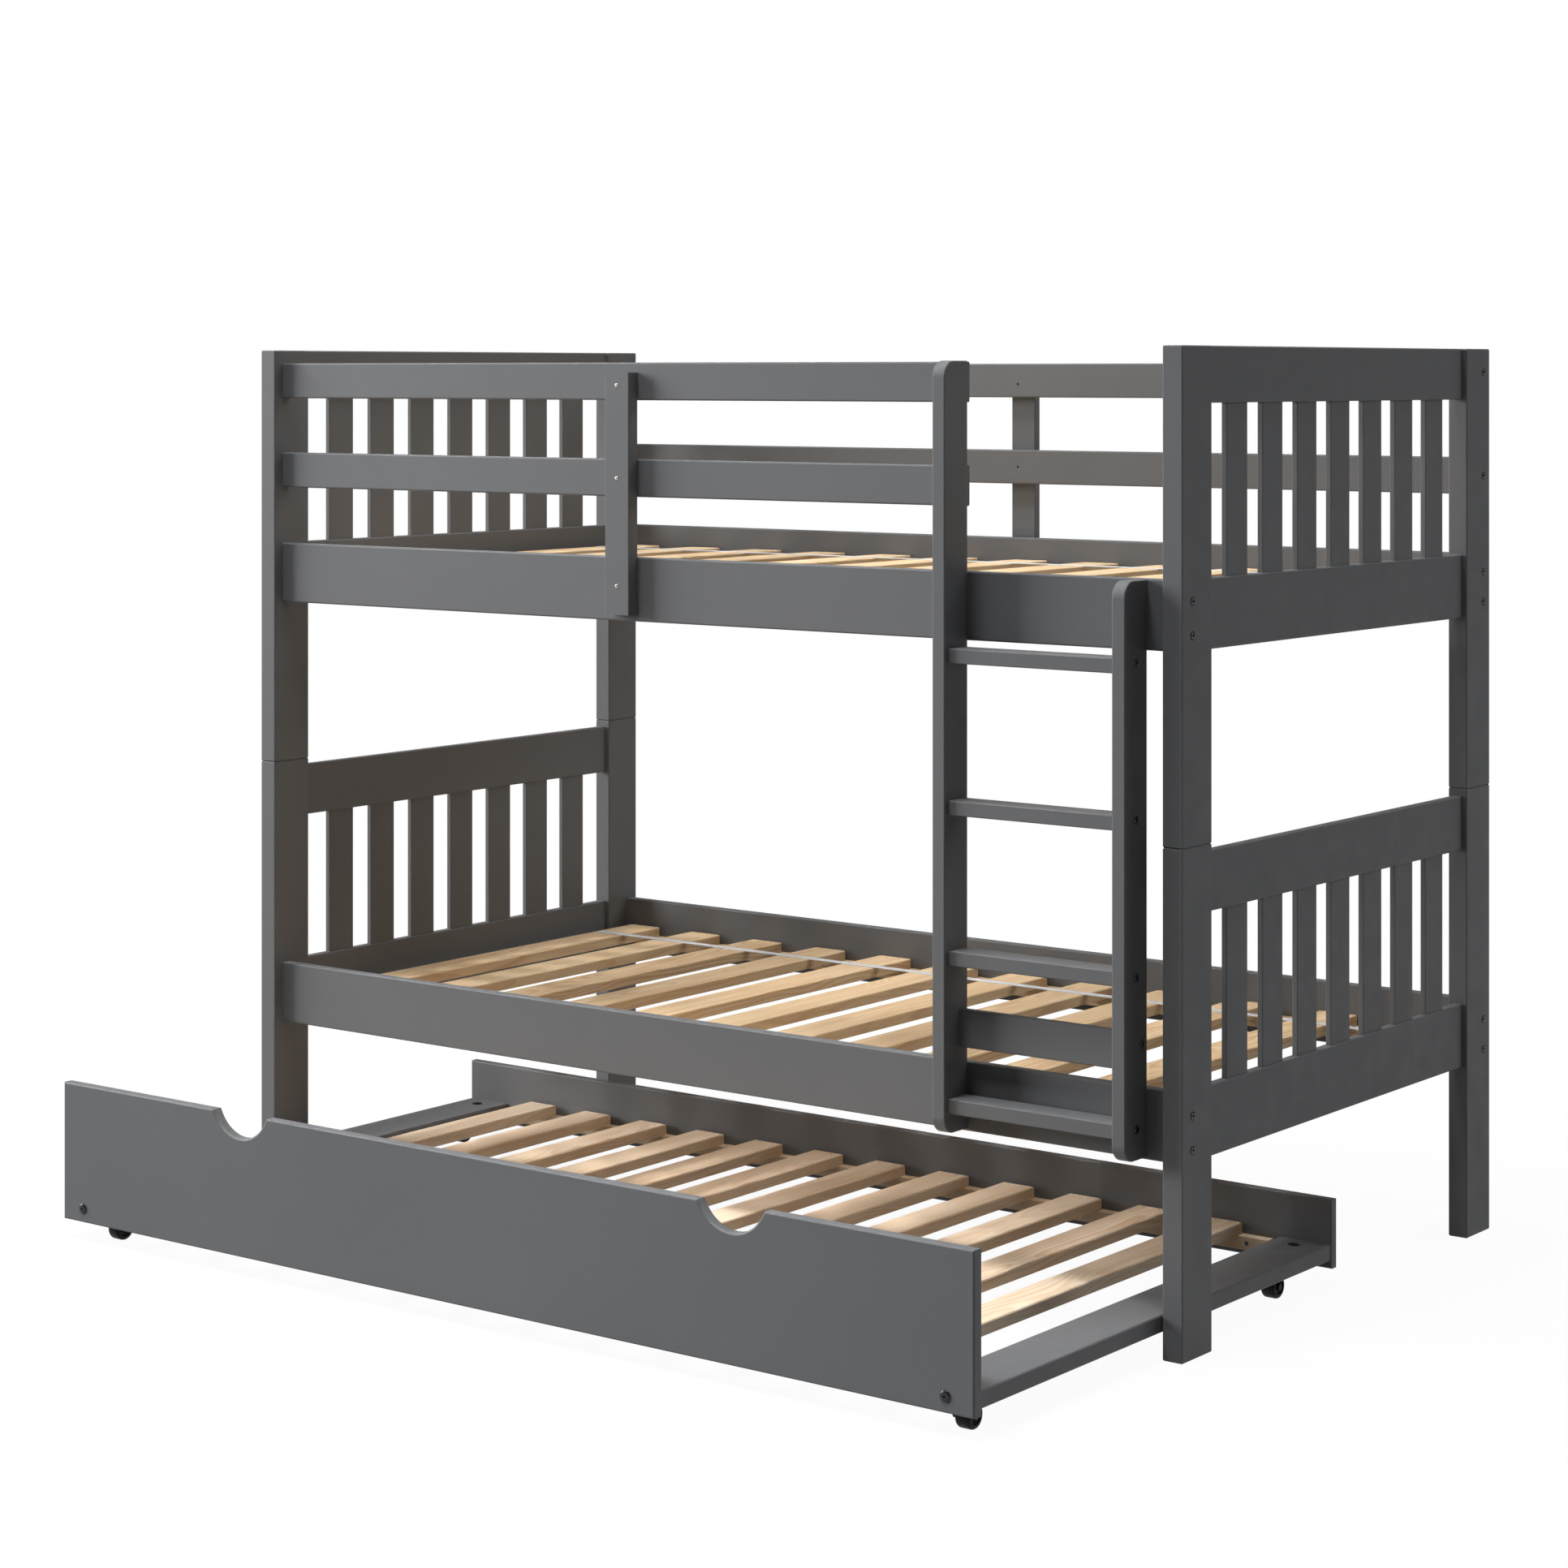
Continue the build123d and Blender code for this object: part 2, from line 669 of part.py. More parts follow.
# Every post with the Y and Z of its rail bolts, by end of the bed
def rail_bolt_places(end):
    return [
        (rail_y[wall], z)
        for level in level_base for wall in walls for z in post_bolt_heights(level, end, wall)
    ]


# Bolts through the posts into the ends of the rails
def make_rail_bolts():
    with BuildPart() as bolts:
        for end in ends:
            with BuildSketch(facing_right(ends[end] * bed_length / 2)):
                with Locations(*rail_bolt_places(end)):
                    Circle(bolt_radius)
            extrude(amount=-ends[end] * (post_width + nut_inset + bolt_tip))
            with BuildSketch(facing_right(ends[end] * bed_length / 2)):
                with Locations(*rail_bolt_places(end)):
                    Circle(bolt_head_radius)
            extrude(amount=ends[end] * bolt_head_rise)
            chamfer(
                bolts.faces().group_by(Axis.X)[0 if ends[end] < 0 else -1].edges(), length=bolt_head_chamfer
            )
    keep(bolts, "rail_bolts")


# Barrel nuts in the ends of the rails, each with a bore for its bolt
def make_rail_nuts():
    with BuildPart() as nuts:
        for end in ends:
            for y, z in rail_bolt_places(end):
                with BuildSketch(facing_front(y + side_rail_thickness / 2 - nut_sink)):
                    with Locations((ends[end] * (inner_x - nut_inset), z)):
                        Circle(nut_radius)
                extrude(amount=nut_length)
        with BuildSketch(facing_right(0)):
            with Locations(*rail_bolt_places("left")):
                Circle(bolt_radius + joint_clearance)
        extrude(amount=bed_length / 2, both=True, mode=Mode.SUBTRACT)
    keep(nuts, "rail_nuts")


def make_trundle_front():
    with BuildPart() as panel:
        with BuildSketch(facing_front(trundle_inner_front_y)):
            with Locations((0, trundle_front_bottom + trundle_front_height / 2)):
                Rectangle(trundle_length, trundle_front_height)
            with Locations(*[(ends[end] * handhold_offset, trundle_front_top + handhold_rise) for end in ends]):
                Circle(handhold_radius, mode=Mode.SUBTRACT)
        extrude(amount=trundle_front_thickness)
        fillet(panel.faces().filter_by(Axis.Y).edges(), radius=trundle_front_ease)
        with BuildSketch(facing_front(trundle_inner_front_y)):
            with Locations(*[(ends[end] * end_board_x, trundle_bolt_z) for end in ends]):
                Circle(bolt_radius + bolt_clearance)
        extrude(amount=trundle_front_thickness + overrun, both=True, mode=Mode.SUBTRACT)
    keep(panel, "trundle_front")


def make_trundle_back():
    with BuildPart() as panel:
        with BuildSketch(facing_front(trundle_back_y)):
            with Locations((0, trundle_back_bottom + trundle_back_height / 2)):
                Rectangle(trundle_length, trundle_back_height)
        extrude(amount=trundle_back_thickness)
        fillet(panel.faces().filter_by(Axis.Y).edges(), radius=trundle_back_ease)
        with BuildSketch(facing_front(trundle_back_y)):
            with Locations(*[(ends[end] * end_board_x, trundle_bolt_z) for end in ends]):
                Circle(bolt_radius + bolt_clearance)
        extrude(amount=trundle_back_thickness + overrun, both=True, mode=Mode.SUBTRACT)
    keep(panel, "trundle_back")


# Flat board that joins the trundle's front and back panels and carries two casters
def make_end_board(end):
    x = ends[end] * end_board_x
    with BuildPart() as board:
        with BuildSketch(facing_front(trundle_inner_back_y)):
            with Locations((x, end_board_bottom + end_board_thickness / 2)):
                RectangleRounded(end_board_width, end_board_thickness, end_board_ease)
        extrude(amount=trundle_frame_depth)
        with BuildSketch(Plane.XY.offset(end_board_top)):
            with Locations(*[(x, pocket_y[wall]) for wall in walls]):
                Circle(pocket_radius)
        extrude(amount=-pocket_depth, mode=Mode.SUBTRACT)
        for wall, face_y in (("front", trundle_inner_front_y), ("back", trundle_inner_back_y)):
            with BuildSketch(facing_front(face_y)):
                with Locations((x, trundle_bolt_z)):
                    Circle(bolt_radius + bolt_clearance)
            extrude(amount=walls[wall] * pocket_inset, mode=Mode.SUBTRACT)
        with BuildSketch(Plane.XY.offset(end_board_bottom)):
            with Locations(*[(ends[end] * pivot_x, pivot_y[wall]) for wall in walls]):
                Circle(socket_radius + joint_clearance)
        extrude(amount=socket_depth + joint_clearance, mode=Mode.SUBTRACT)
    keep(board, f"trundle_end_board_{end}")


# Y of the panel face that carries each trundle cleat
trundle_face_y = {"front": trundle_inner_front_y, "back": trundle_inner_back_y}


# X and Z of the screws in the trundle's cleats
def trundle_screw_places():
    last_x = trundle_cleat_length / 2 - trundle_screw_end
    pitch = 2 * last_x / (trundle_screw_count - 1)
    z = trundle_cleat_top - trundle_cleat_height / 2
    return [(i * pitch - last_x, z) for i in range(trundle_screw_count)]


def make_trundle_cleats():
    with BuildPart() as cleats:
        for wall in walls:
            with BuildSketch(facing_right(-trundle_cleat_length / 2)):
                with Locations((
                    trundle_face_y[wall] - walls[wall] * trundle_cleat_width / 2,
                    trundle_cleat_top - trundle_cleat_height / 2,
                )):
                    RectangleRounded(trundle_cleat_width, trundle_cleat_height, cleat_ease)
            extrude(amount=trundle_cleat_length)
            with BuildSketch(facing_front(trundle_face_y[wall])):
                with Locations(*trundle_screw_places()):
                    Circle(screw_radius + bolt_clearance)
            extrude(amount=trundle_cleat_width + overrun, both=True, mode=Mode.SUBTRACT)
    keep(cleats, "trundle_cleats")


def make_trundle_slats():
    middle_y = (trundle_inner_front_y + trundle_inner_back_y) / 2
    row_length = trundle_cleat_length - 2 * trundle_slat_end_inset - trundle_slat_width
    with BuildPart() as slats:
        with BuildSketch(Plane.XY.offset(trundle_cleat_top)):
            with Locations((0, middle_y)):
                with GridLocations(row_length / (trundle_slat_count - 1), 0, trundle_slat_count, 1):
                    Rectangle(trundle_slat_width, trundle_frame_depth - 2 * trundle_slat_end_gap)
        extrude(amount=trundle_slat_thickness)
        chamfer(slats.edges().group_by(Axis.Z)[-1], length=trundle_slat_chamfer)
    keep(slats, "trundle_slats")


# Bolts through the front and back panels, the nuts in the round pockets and the screws in the cleats
def make_trundle_fixings():
    head_y = {"front": trundle_front_y, "back": trundle_back_y}
    bolt_places = [(ends[end] * end_board_x, trundle_bolt_z) for end in ends]
    with BuildPart() as fixings:
        for wall in walls:
            with BuildSketch(Plane.XY.offset(end_board_top - pocket_depth)):
                with Locations(*[(ends[end] * end_board_x, pocket_y[wall]) for end in ends]):
                    Circle(pocket_radius - pocket_nut_clearance)
            extrude(amount=pocket_nut_thickness)
        with BuildSketch(facing_front(trundle_front_y)):
            with Locations(*bolt_places):
                Circle(bolt_radius + joint_clearance)
        extrude(amount=trundle_front_y - trundle_back_y, mode=Mode.SUBTRACT)
        for wall in walls:
            with BuildSketch(facing_front(head_y[wall])):
                with Locations(*bolt_places):
                    Circle(bolt_radius)
            extrude(amount=walls[wall] * (abs(pocket_y[wall] - head_y[wall]) + bolt_tip))
            with BuildSketch(facing_front(head_y[wall])):
                with Locations(*bolt_places):
                    Circle(trundle_bolt_head_radius)
            extrude(amount=-walls[wall] * trundle_bolt_head_rise)
            chamfer(
                fixings.faces().group_by(Axis.Y)[0 if walls[wall] < 0 else -1].edges(),
                length=trundle_bolt_head_chamfer,
            )
            with BuildSketch(facing_front(trundle_face_y[wall] - walls[wall] * trundle_cleat_width)):
                with Locations(*trundle_screw_places()):
                    Circle(screw_radius)
            extrude(amount=-walls[wall] * trundle_cleat_width)
            with BuildSketch(facing_front(trundle_face_y[wall] - walls[wall] * trundle_cleat_width)):
                with Locations(*trundle_screw_places()):
                    Circle(screw_head_radius)
            extrude(amount=walls[wall] * screw_head_rise)
    keep(fixings, "trundle_fixings")


# Steel sockets pressed into the end boards for the caster stems
def make_caster_sockets():
    places = [(ends[end] * pivot_x, pivot_y[wall]) for end in ends for wall in walls]
    with BuildPart() as sockets:
        with BuildSketch(Plane.XY.offset(end_board_bottom)):
            with Locations(*places):
                Circle(socket_radius)
        extrude(amount=socket_depth)
        with BuildSketch(Plane.XY.offset(end_board_bottom)):
            with Locations(*places):
                Circle(socket_flange_radius)
        extrude(amount=-socket_flange_thickness)
        with BuildSketch(Plane.XY.offset(end_board_bottom - socket_flange_thickness)):
            with Locations(*places):
                Circle(stem_radius + running_clearance)
        extrude(amount=stem_length + side_clearance, mode=Mode.SUBTRACT)
    keep(sockets, "caster_sockets")


# Sketch plane across a caster's axle, a distance beside its stem, on the side that its heading gives.
# Its axes run along the caster, away from the trail, and up.
def beside_stem(end, wall, distance):
    heading = caster_heading[end, wall]
    pivot = (ends[end] * pivot_x + heading * distance, pivot_y[wall], 0)
    return Plane(origin=pivot, x_dir=(0, heading, 0), z_dir=(heading, 0, 0))


# Stem, hub, cheek and axle of a caster, which swivel as one
def make_caster_arm(end, wall):
    pivot = (ends[end] * pivot_x, pivot_y[wall])
    hub_top = end_board_bottom - socket_flange_thickness - side_clearance
    stem_top = end_board_bottom - socket_flange_thickness + stem_length
    cap_offset = wheel_offset + wheel_width + side_clearance
    with BuildPart() as arm:
        with BuildSketch(Plane.XY.offset(stem_hub_bottom)):
            with Locations(pivot):
                Circle(stem_hub_radius)
        extrude(amount=hub_top - stem_hub_bottom)
        with BuildSketch(Plane.XY.offset(stem_hub_bottom)):
            with Locations(pivot):
                Circle(stem_radius)
        extrude(amount=stem_top - stem_hub_bottom)
        with BuildSketch(beside_stem(end, wall, 0)):
            with BuildLine():
                Polyline(
                    (-caster_trail, wheel_radius - cheek_radius), (0, stem_hub_bottom),
                    (stem_hub_radius, stem_hub_bottom), (stem_hub_radius, hub_top),
                    (0, hub_top), (-caster_trail, wheel_radius + cheek_radius), close=True,
                )
            make_face()
            with Locations((-caster_trail, wheel_radius)):
                Circle(cheek_radius)
        extrude(amount=cheek_offset + cheek_thickness)
        with BuildSketch(beside_stem(end, wall, 0)):
            with Locations((-caster_trail, wheel_radius)):
                Circle(axle_radius)
        extrude(amount=cap_offset)
        with BuildSketch(beside_stem(end, wall, cap_offset)):
            with Locations((-caster_trail, wheel_radius)):
                Circle(axle_cap_radius)
        extrude(amount=axle_cap_thickness)
    keep(arm, f"caster_arm_{wall}_{end}")


def make_caster_wheel(end, wall):
    with BuildPart() as wheel:
        with BuildSketch(beside_stem(end, wall, wheel_offset)):
            with Locations((-caster_trail, wheel_radius)):
                Circle(wheel_radius)
        extrude(amount=wheel_width)
        fillet(wheel.edges().filter_by(GeomType.CIRCLE), radius=wheel_rim_round)
        with BuildSketch(beside_stem(end, wall, wheel_offset + wheel_width)):
            with Locations((-caster_trail, wheel_radius)):
                Circle(wheel_dish_radius)
                Circle(axle_cap_radius, mode=Mode.SUBTRACT)
        extrude(amount=-wheel_dish_depth, mode=Mode.SUBTRACT)
        with BuildSketch(beside_stem(end, wall, wheel_offset)):
            with Locations((-caster_trail, wheel_radius)):
                Circle(axle_radius + running_clearance)
        extrude(amount=wheel_width + overrun, both=True, mode=Mode.SUBTRACT)
    keep(wheel, f"caster_wheel_{wall}_{end}")


def make_bunk():
    for level in level_base:
        for end in ends:
            for wall in walls:
                make_post(level, end, wall)
            for place in panel_rails(level):
                make_panel_rail(level, end, place)
            make_panel_slats(level, end)
        make_deck_slats(level)
    make_post_pins()
    make_side_boards()
    for wall in walls:
        make_guard_upright(wall)
    make_upright_bolts()
    make_deck_cleats()
    make_cleat_screws()
    make_deck_straps()
    make_rail_bolts()
    make_rail_nuts()


def make_ladder():
    for end in ends:
        make_ladder_stile(end)
    make_ladder_rungs()
    make_ladder_brace()
    make_ladder_bolts()


def make_trundle():
    make_trundle_front()
    make_trundle_back()
    for end in ends:
        make_end_board(end)
    make_trundle_cleats()
    make_trundle_slats()
    make_trundle_fixings()
    make_caster_sockets()
    for end in ends:
        for wall in walls:
            make_caster_arm(end, wall)
            make_caster_wheel(end, wall)


make_bunk()
make_ladder()
make_trundle()
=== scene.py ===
import bpy
import bmesh
import json
import math
import random
from mathutils import Matrix, Vector


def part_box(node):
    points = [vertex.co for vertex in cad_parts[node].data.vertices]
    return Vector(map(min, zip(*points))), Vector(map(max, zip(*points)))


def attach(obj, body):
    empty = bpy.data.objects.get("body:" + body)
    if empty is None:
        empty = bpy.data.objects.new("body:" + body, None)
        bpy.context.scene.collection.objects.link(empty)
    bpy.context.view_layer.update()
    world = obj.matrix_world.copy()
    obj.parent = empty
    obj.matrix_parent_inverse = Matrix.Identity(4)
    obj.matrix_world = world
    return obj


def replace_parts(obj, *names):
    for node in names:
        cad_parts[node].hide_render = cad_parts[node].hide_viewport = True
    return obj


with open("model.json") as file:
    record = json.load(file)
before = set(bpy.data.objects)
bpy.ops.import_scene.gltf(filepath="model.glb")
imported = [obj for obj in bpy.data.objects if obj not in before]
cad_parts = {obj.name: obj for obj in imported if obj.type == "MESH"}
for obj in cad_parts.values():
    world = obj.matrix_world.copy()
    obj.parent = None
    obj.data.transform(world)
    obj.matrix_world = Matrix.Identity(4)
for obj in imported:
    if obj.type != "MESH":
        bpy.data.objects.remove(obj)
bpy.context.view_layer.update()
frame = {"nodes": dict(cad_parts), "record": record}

nodes = frame["nodes"]
random.seed(7)
print("frame loaded:", len(nodes), "nodes")


# Mesh helpers

def newPiece(name, bm, material, body, smoothAngle=35):
    mesh = bpy.data.meshes.new(name)
    bmesh.ops.recalc_face_normals(bm, faces=bm.faces)
    bm.to_mesh(mesh)
    bm.free()
    mesh.polygons.foreach_set("use_smooth", [True] * len(mesh.polygons))
    mesh.set_sharp_from_angle(angle=math.radians(smoothAngle))
    piece = bpy.data.objects.new(name, mesh)
    bpy.context.scene.collection.objects.link(piece)
    mesh.materials.append(material)
    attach(piece, body)
    return piece


def facing(place, direction):  # for a shape built along +Z that has to look along direction at place
    turn = Vector((0, 0, 1)).rotation_difference(Vector(direction)).to_matrix().to_4x4()
    return Matrix.Translation(Vector(place)) @ turn


def joinInto(bm, other, matrix=Matrix()):
    bmesh.ops.transform(other, matrix=matrix, verts=other.verts)
    mesh = bpy.data.meshes.new("joining")
    other.to_mesh(mesh)
    other.free()
    bm.from_mesh(mesh)
    bpy.data.meshes.remove(mesh)


# A lathed shape along +Z from (radius, height) points, with the rings of vertices that it was made of
def turned(profile, sides, capStart=True, capEnd=True):
    bm = bmesh.new()
    radius, height = profile[0]
    made = bmesh.ops.create_circle(bm, cap_ends=False, radius=radius, segments=sides)
    bmesh.ops.translate(bm, verts=made["verts"], vec=(0, 0, height))
    edges = list(bm.edges)
    if capStart:
        bmesh.ops.contextual_create(bm, geom=edges)
    rings = [made["verts"]]
    for nextRadius, nextHeight in profile[1:]:
        grown = bmesh.ops.extrude_edge_only(bm, edges=edges)["geom"]
        edges = [g for g in grown if isinstance(g, bmesh.types.BMEdge)]
        verts = [g for g in grown if isinstance(g, bmesh.types.BMVert)]
        bmesh.ops.scale(bm, verts=verts, vec=(nextRadius / radius, nextRadius / radius, 1))
        bmesh.ops.translate(bm, verts=verts, vec=(0, 0, nextHeight - height))
        radius, height = nextRadius, nextHeight
        rings.append(verts)
    if capEnd:
        bmesh.ops.contextual_create(bm, geom=edges)
    return bm, rings


def block(size, bevel, segments=2):  # a box with eased edges around its centre
    bm = bmesh.new()
    bmesh.ops.create_cube(bm, size=1.0)
    bmesh.ops.scale(bm, verts=bm.verts, vec=size)
    bmesh.ops.bevel(
        bm, geom=bm.edges[:], offset=bevel, affect="EDGES", segments=segments, profile=0.5, material=-1)
    return bm


# Node helpers

def putInputs(tree, node, inputs):
    for key, value in inputs.items():
        if isinstance(value, bpy.types.NodeSocket):
            tree.links.new(value, node.inputs[key])
        else:
            node.inputs[key].default_value = value


def addNode(tree, kind, inputs=None, **settings):
    node = tree.nodes.new(kind)
    for key, value in settings.items():
        setattr(node, key, value)
    putInputs(tree, node, inputs or {})
    return node


def calc(tree, operation, first, second=0.0, clamp=False):
    node = addNode(tree, "ShaderNodeMath", {0: first, 1: second}, operation=operation, use_clamp=clamp)
    return node.outputs[0]


def plus(tree, first, second, clamp=False):
    return calc(tree, "ADD", first, second, clamp)


def minus(tree, first, second):
    return calc(tree, "SUBTRACT", first, second)


def times(tree, first, second):
    return calc(tree, "MULTIPLY", first, second)


def vectorCalc(tree, operation, first, second):
    return addNode(tree, "ShaderNodeVectorMath", {0: first, 1: second}, operation=operation).outputs[0]


def scaled(tree, vector, factor):
    return addNode(tree, "ShaderNodeVectorMath", {0: vector, "Scale": factor}, operation="SCALE").outputs[0]


def mixColour(tree, factor, first, second):
    node = addNode(tree, "ShaderNodeMix", data_type="RGBA")
    putInputs(tree, node, {0: factor, 6: first, 7: second})
    return node.outputs[2]


def remap(tree, value, low, high, toLow=0.0, toHigh=1.0, smooth=False):
    inputs = {"Value": value, "From Min": low, "From Max": high, "To Min": toLow, "To Max": toHigh}
    kind = "SMOOTHSTEP" if smooth else "LINEAR"
    return addNode(tree, "ShaderNodeMapRange", inputs, interpolation_type=kind).outputs["Result"]


def noise(tree, vector, scale, detail=2.0, roughness=0.5):
    inputs = {"Vector": vector, "Scale": scale, "Detail": detail, "Roughness": roughness}
    return addNode(tree, "ShaderNodeTexNoise", inputs).outputs[0]


def joined(tree, x, y, z):
    return addNode(tree, "ShaderNodeCombineXYZ", {0: x, 1: y, 2: z}).outputs[0]


def newGroup(name, inputs, outputs):
    group = bpy.data.node_groups.new(name, "ShaderNodeTree")
    for way, sockets in (("INPUT", inputs), ("OUTPUT", outputs)):
        for label, kind in sockets.items():
            group.interface.new_socket(name=label, in_out=way, socket_type=f"NodeSocket{kind}")
    return group, group.nodes.new("NodeGroupInput").outputs, group.nodes.new("NodeGroupOutput")


def useGroup(tree, group, inputs):
    node = tree.nodes.new("ShaderNodeGroup")
    node.node_tree = group
    putInputs(tree, node, inputs)
    return node.outputs


def newMaterial(name):
    material = bpy.data.materials.new(name)
    material.use_nodes = True
    return material, material.node_tree, material.node_tree.nodes["Principled BSDF"]


def objectPlace(tree, turn=(0, 0, 0)):
    coordinate = addNode(tree, "ShaderNodeTexCoord").outputs["Object"]
    return addNode(tree, "ShaderNodeMapping", {"Vector": coordinate, "Rotation": turn}).outputs[0]


def bumpFrom(tree, height, look):
    inputs = {"Height": height, "Strength": look["bump"], "Distance": look["bumpDepth"]}
    return addNode(tree, "ShaderNodeBump", inputs).outputs[0]


# Shared effects

coatLook = {
    "cloudSize": 26.0,
    "cloudShare": 0.7,
    "gritShare": 0.3,
    "toneRange": (0.3, 0.7),
    "glossRange": (0.35, 0.65),
}


def makeCoatGroup():  # slow tone drift, fine texture and gloss changes of a sprayed or plated coat
    look = coatLook
    group, given, out = newGroup(
        "coatVariation",
        {"Vector": "Vector", "Drift Size": "Float", "Grit Size": "Float"},
        {"Tone": "Float", "Gloss": "Float", "Height": "Float"},
    )
    drift = noise(group, given["Vector"], given["Drift Size"], 3.0)
    grit = noise(group, given["Vector"], given["Grit Size"], 2.0)
    cloud = noise(group, given["Vector"], look["cloudSize"], 4.0, 0.6)
    gloss = plus(group, times(group, cloud, look["cloudShare"]), times(group, grit, look["gritShare"]))
    group.links.new(remap(group, drift, *look["toneRange"]), out.inputs["Tone"])
    group.links.new(gloss, out.inputs["Gloss"])
    group.links.new(plus(group, grit, cloud), out.inputs["Height"])
    return group


figureLook = {
    "seeds": {"board": 1.37, "level": 11.0, "second": 0.31, "jump": 9.0, "start": 7.0},
    "stretch": (1.0, 0.10, 1.0),
    "pith": {
        "aside": 0.085, "depth": (0.004, 0.060),
        "sway": 0.05, "swayRate": 1.9, "lift": 0.075, "liftRate": 2.6,
    },
    "rings": {
        "gap": (0.0042, 0.0085), "rise": (0.30, 0.90), "fall": (1.0, 0.93), "strength": (0.50, 1.00),
        "ripple": 0.012, "rippleScale": 22.0,
        "soft": (0.32, 0.66, 0.35, 1.0), "softScale": 9.0,
        "height": 0.4,
    },
    "knots": {
        "scale": 7.0, "stretch": (1.0, 0.42, 0.8), "bend": 0.012,
        "halo": (0.30, 0.02), "haloShare": 0.28, "core": (0.062, 0.034), "coreShare": 0.90,
    },
    "fibre": {"scale": (620.0, 11.0, 620.0), "range": (0.40, 0.75), "share": 0.26, "height": 0.6},
    "streaks": {
        "scale": (46.0, 40.0, 46.0),
        "dark": (0.46, 0.74), "darkShare": 0.38, "pale": (0.46, 0.26), "paleShare": 0.22,
    },
    "paleColour": (1.0, 0.90, 0.76, 1),
    "haloColour": (0.470, 0.260, 0.110, 1),
    "coreColour": (0.170, 0.075, 0.030, 1),
    "tone": (0.88, 1.05),
    "rough": (0.60, 0.48),
}


def randomDraws(group, seed):  # three random values as one colour, whole and split
    colour = addNode(group, "ShaderNodeTexWhiteNoise", {"W": seed}, noise_dimensions="1D").outputs["Color"]
    return colour, addNode(group, "ShaderNodeSeparateColor", {0: colour}).outputs


def swayAlong(group, place, amount):  # a slow wander round nought along a board
    wander = minus(group, noise(group, place, 1.0, 1.5, 0.45), 0.5)
    return times(group, wander, amount)


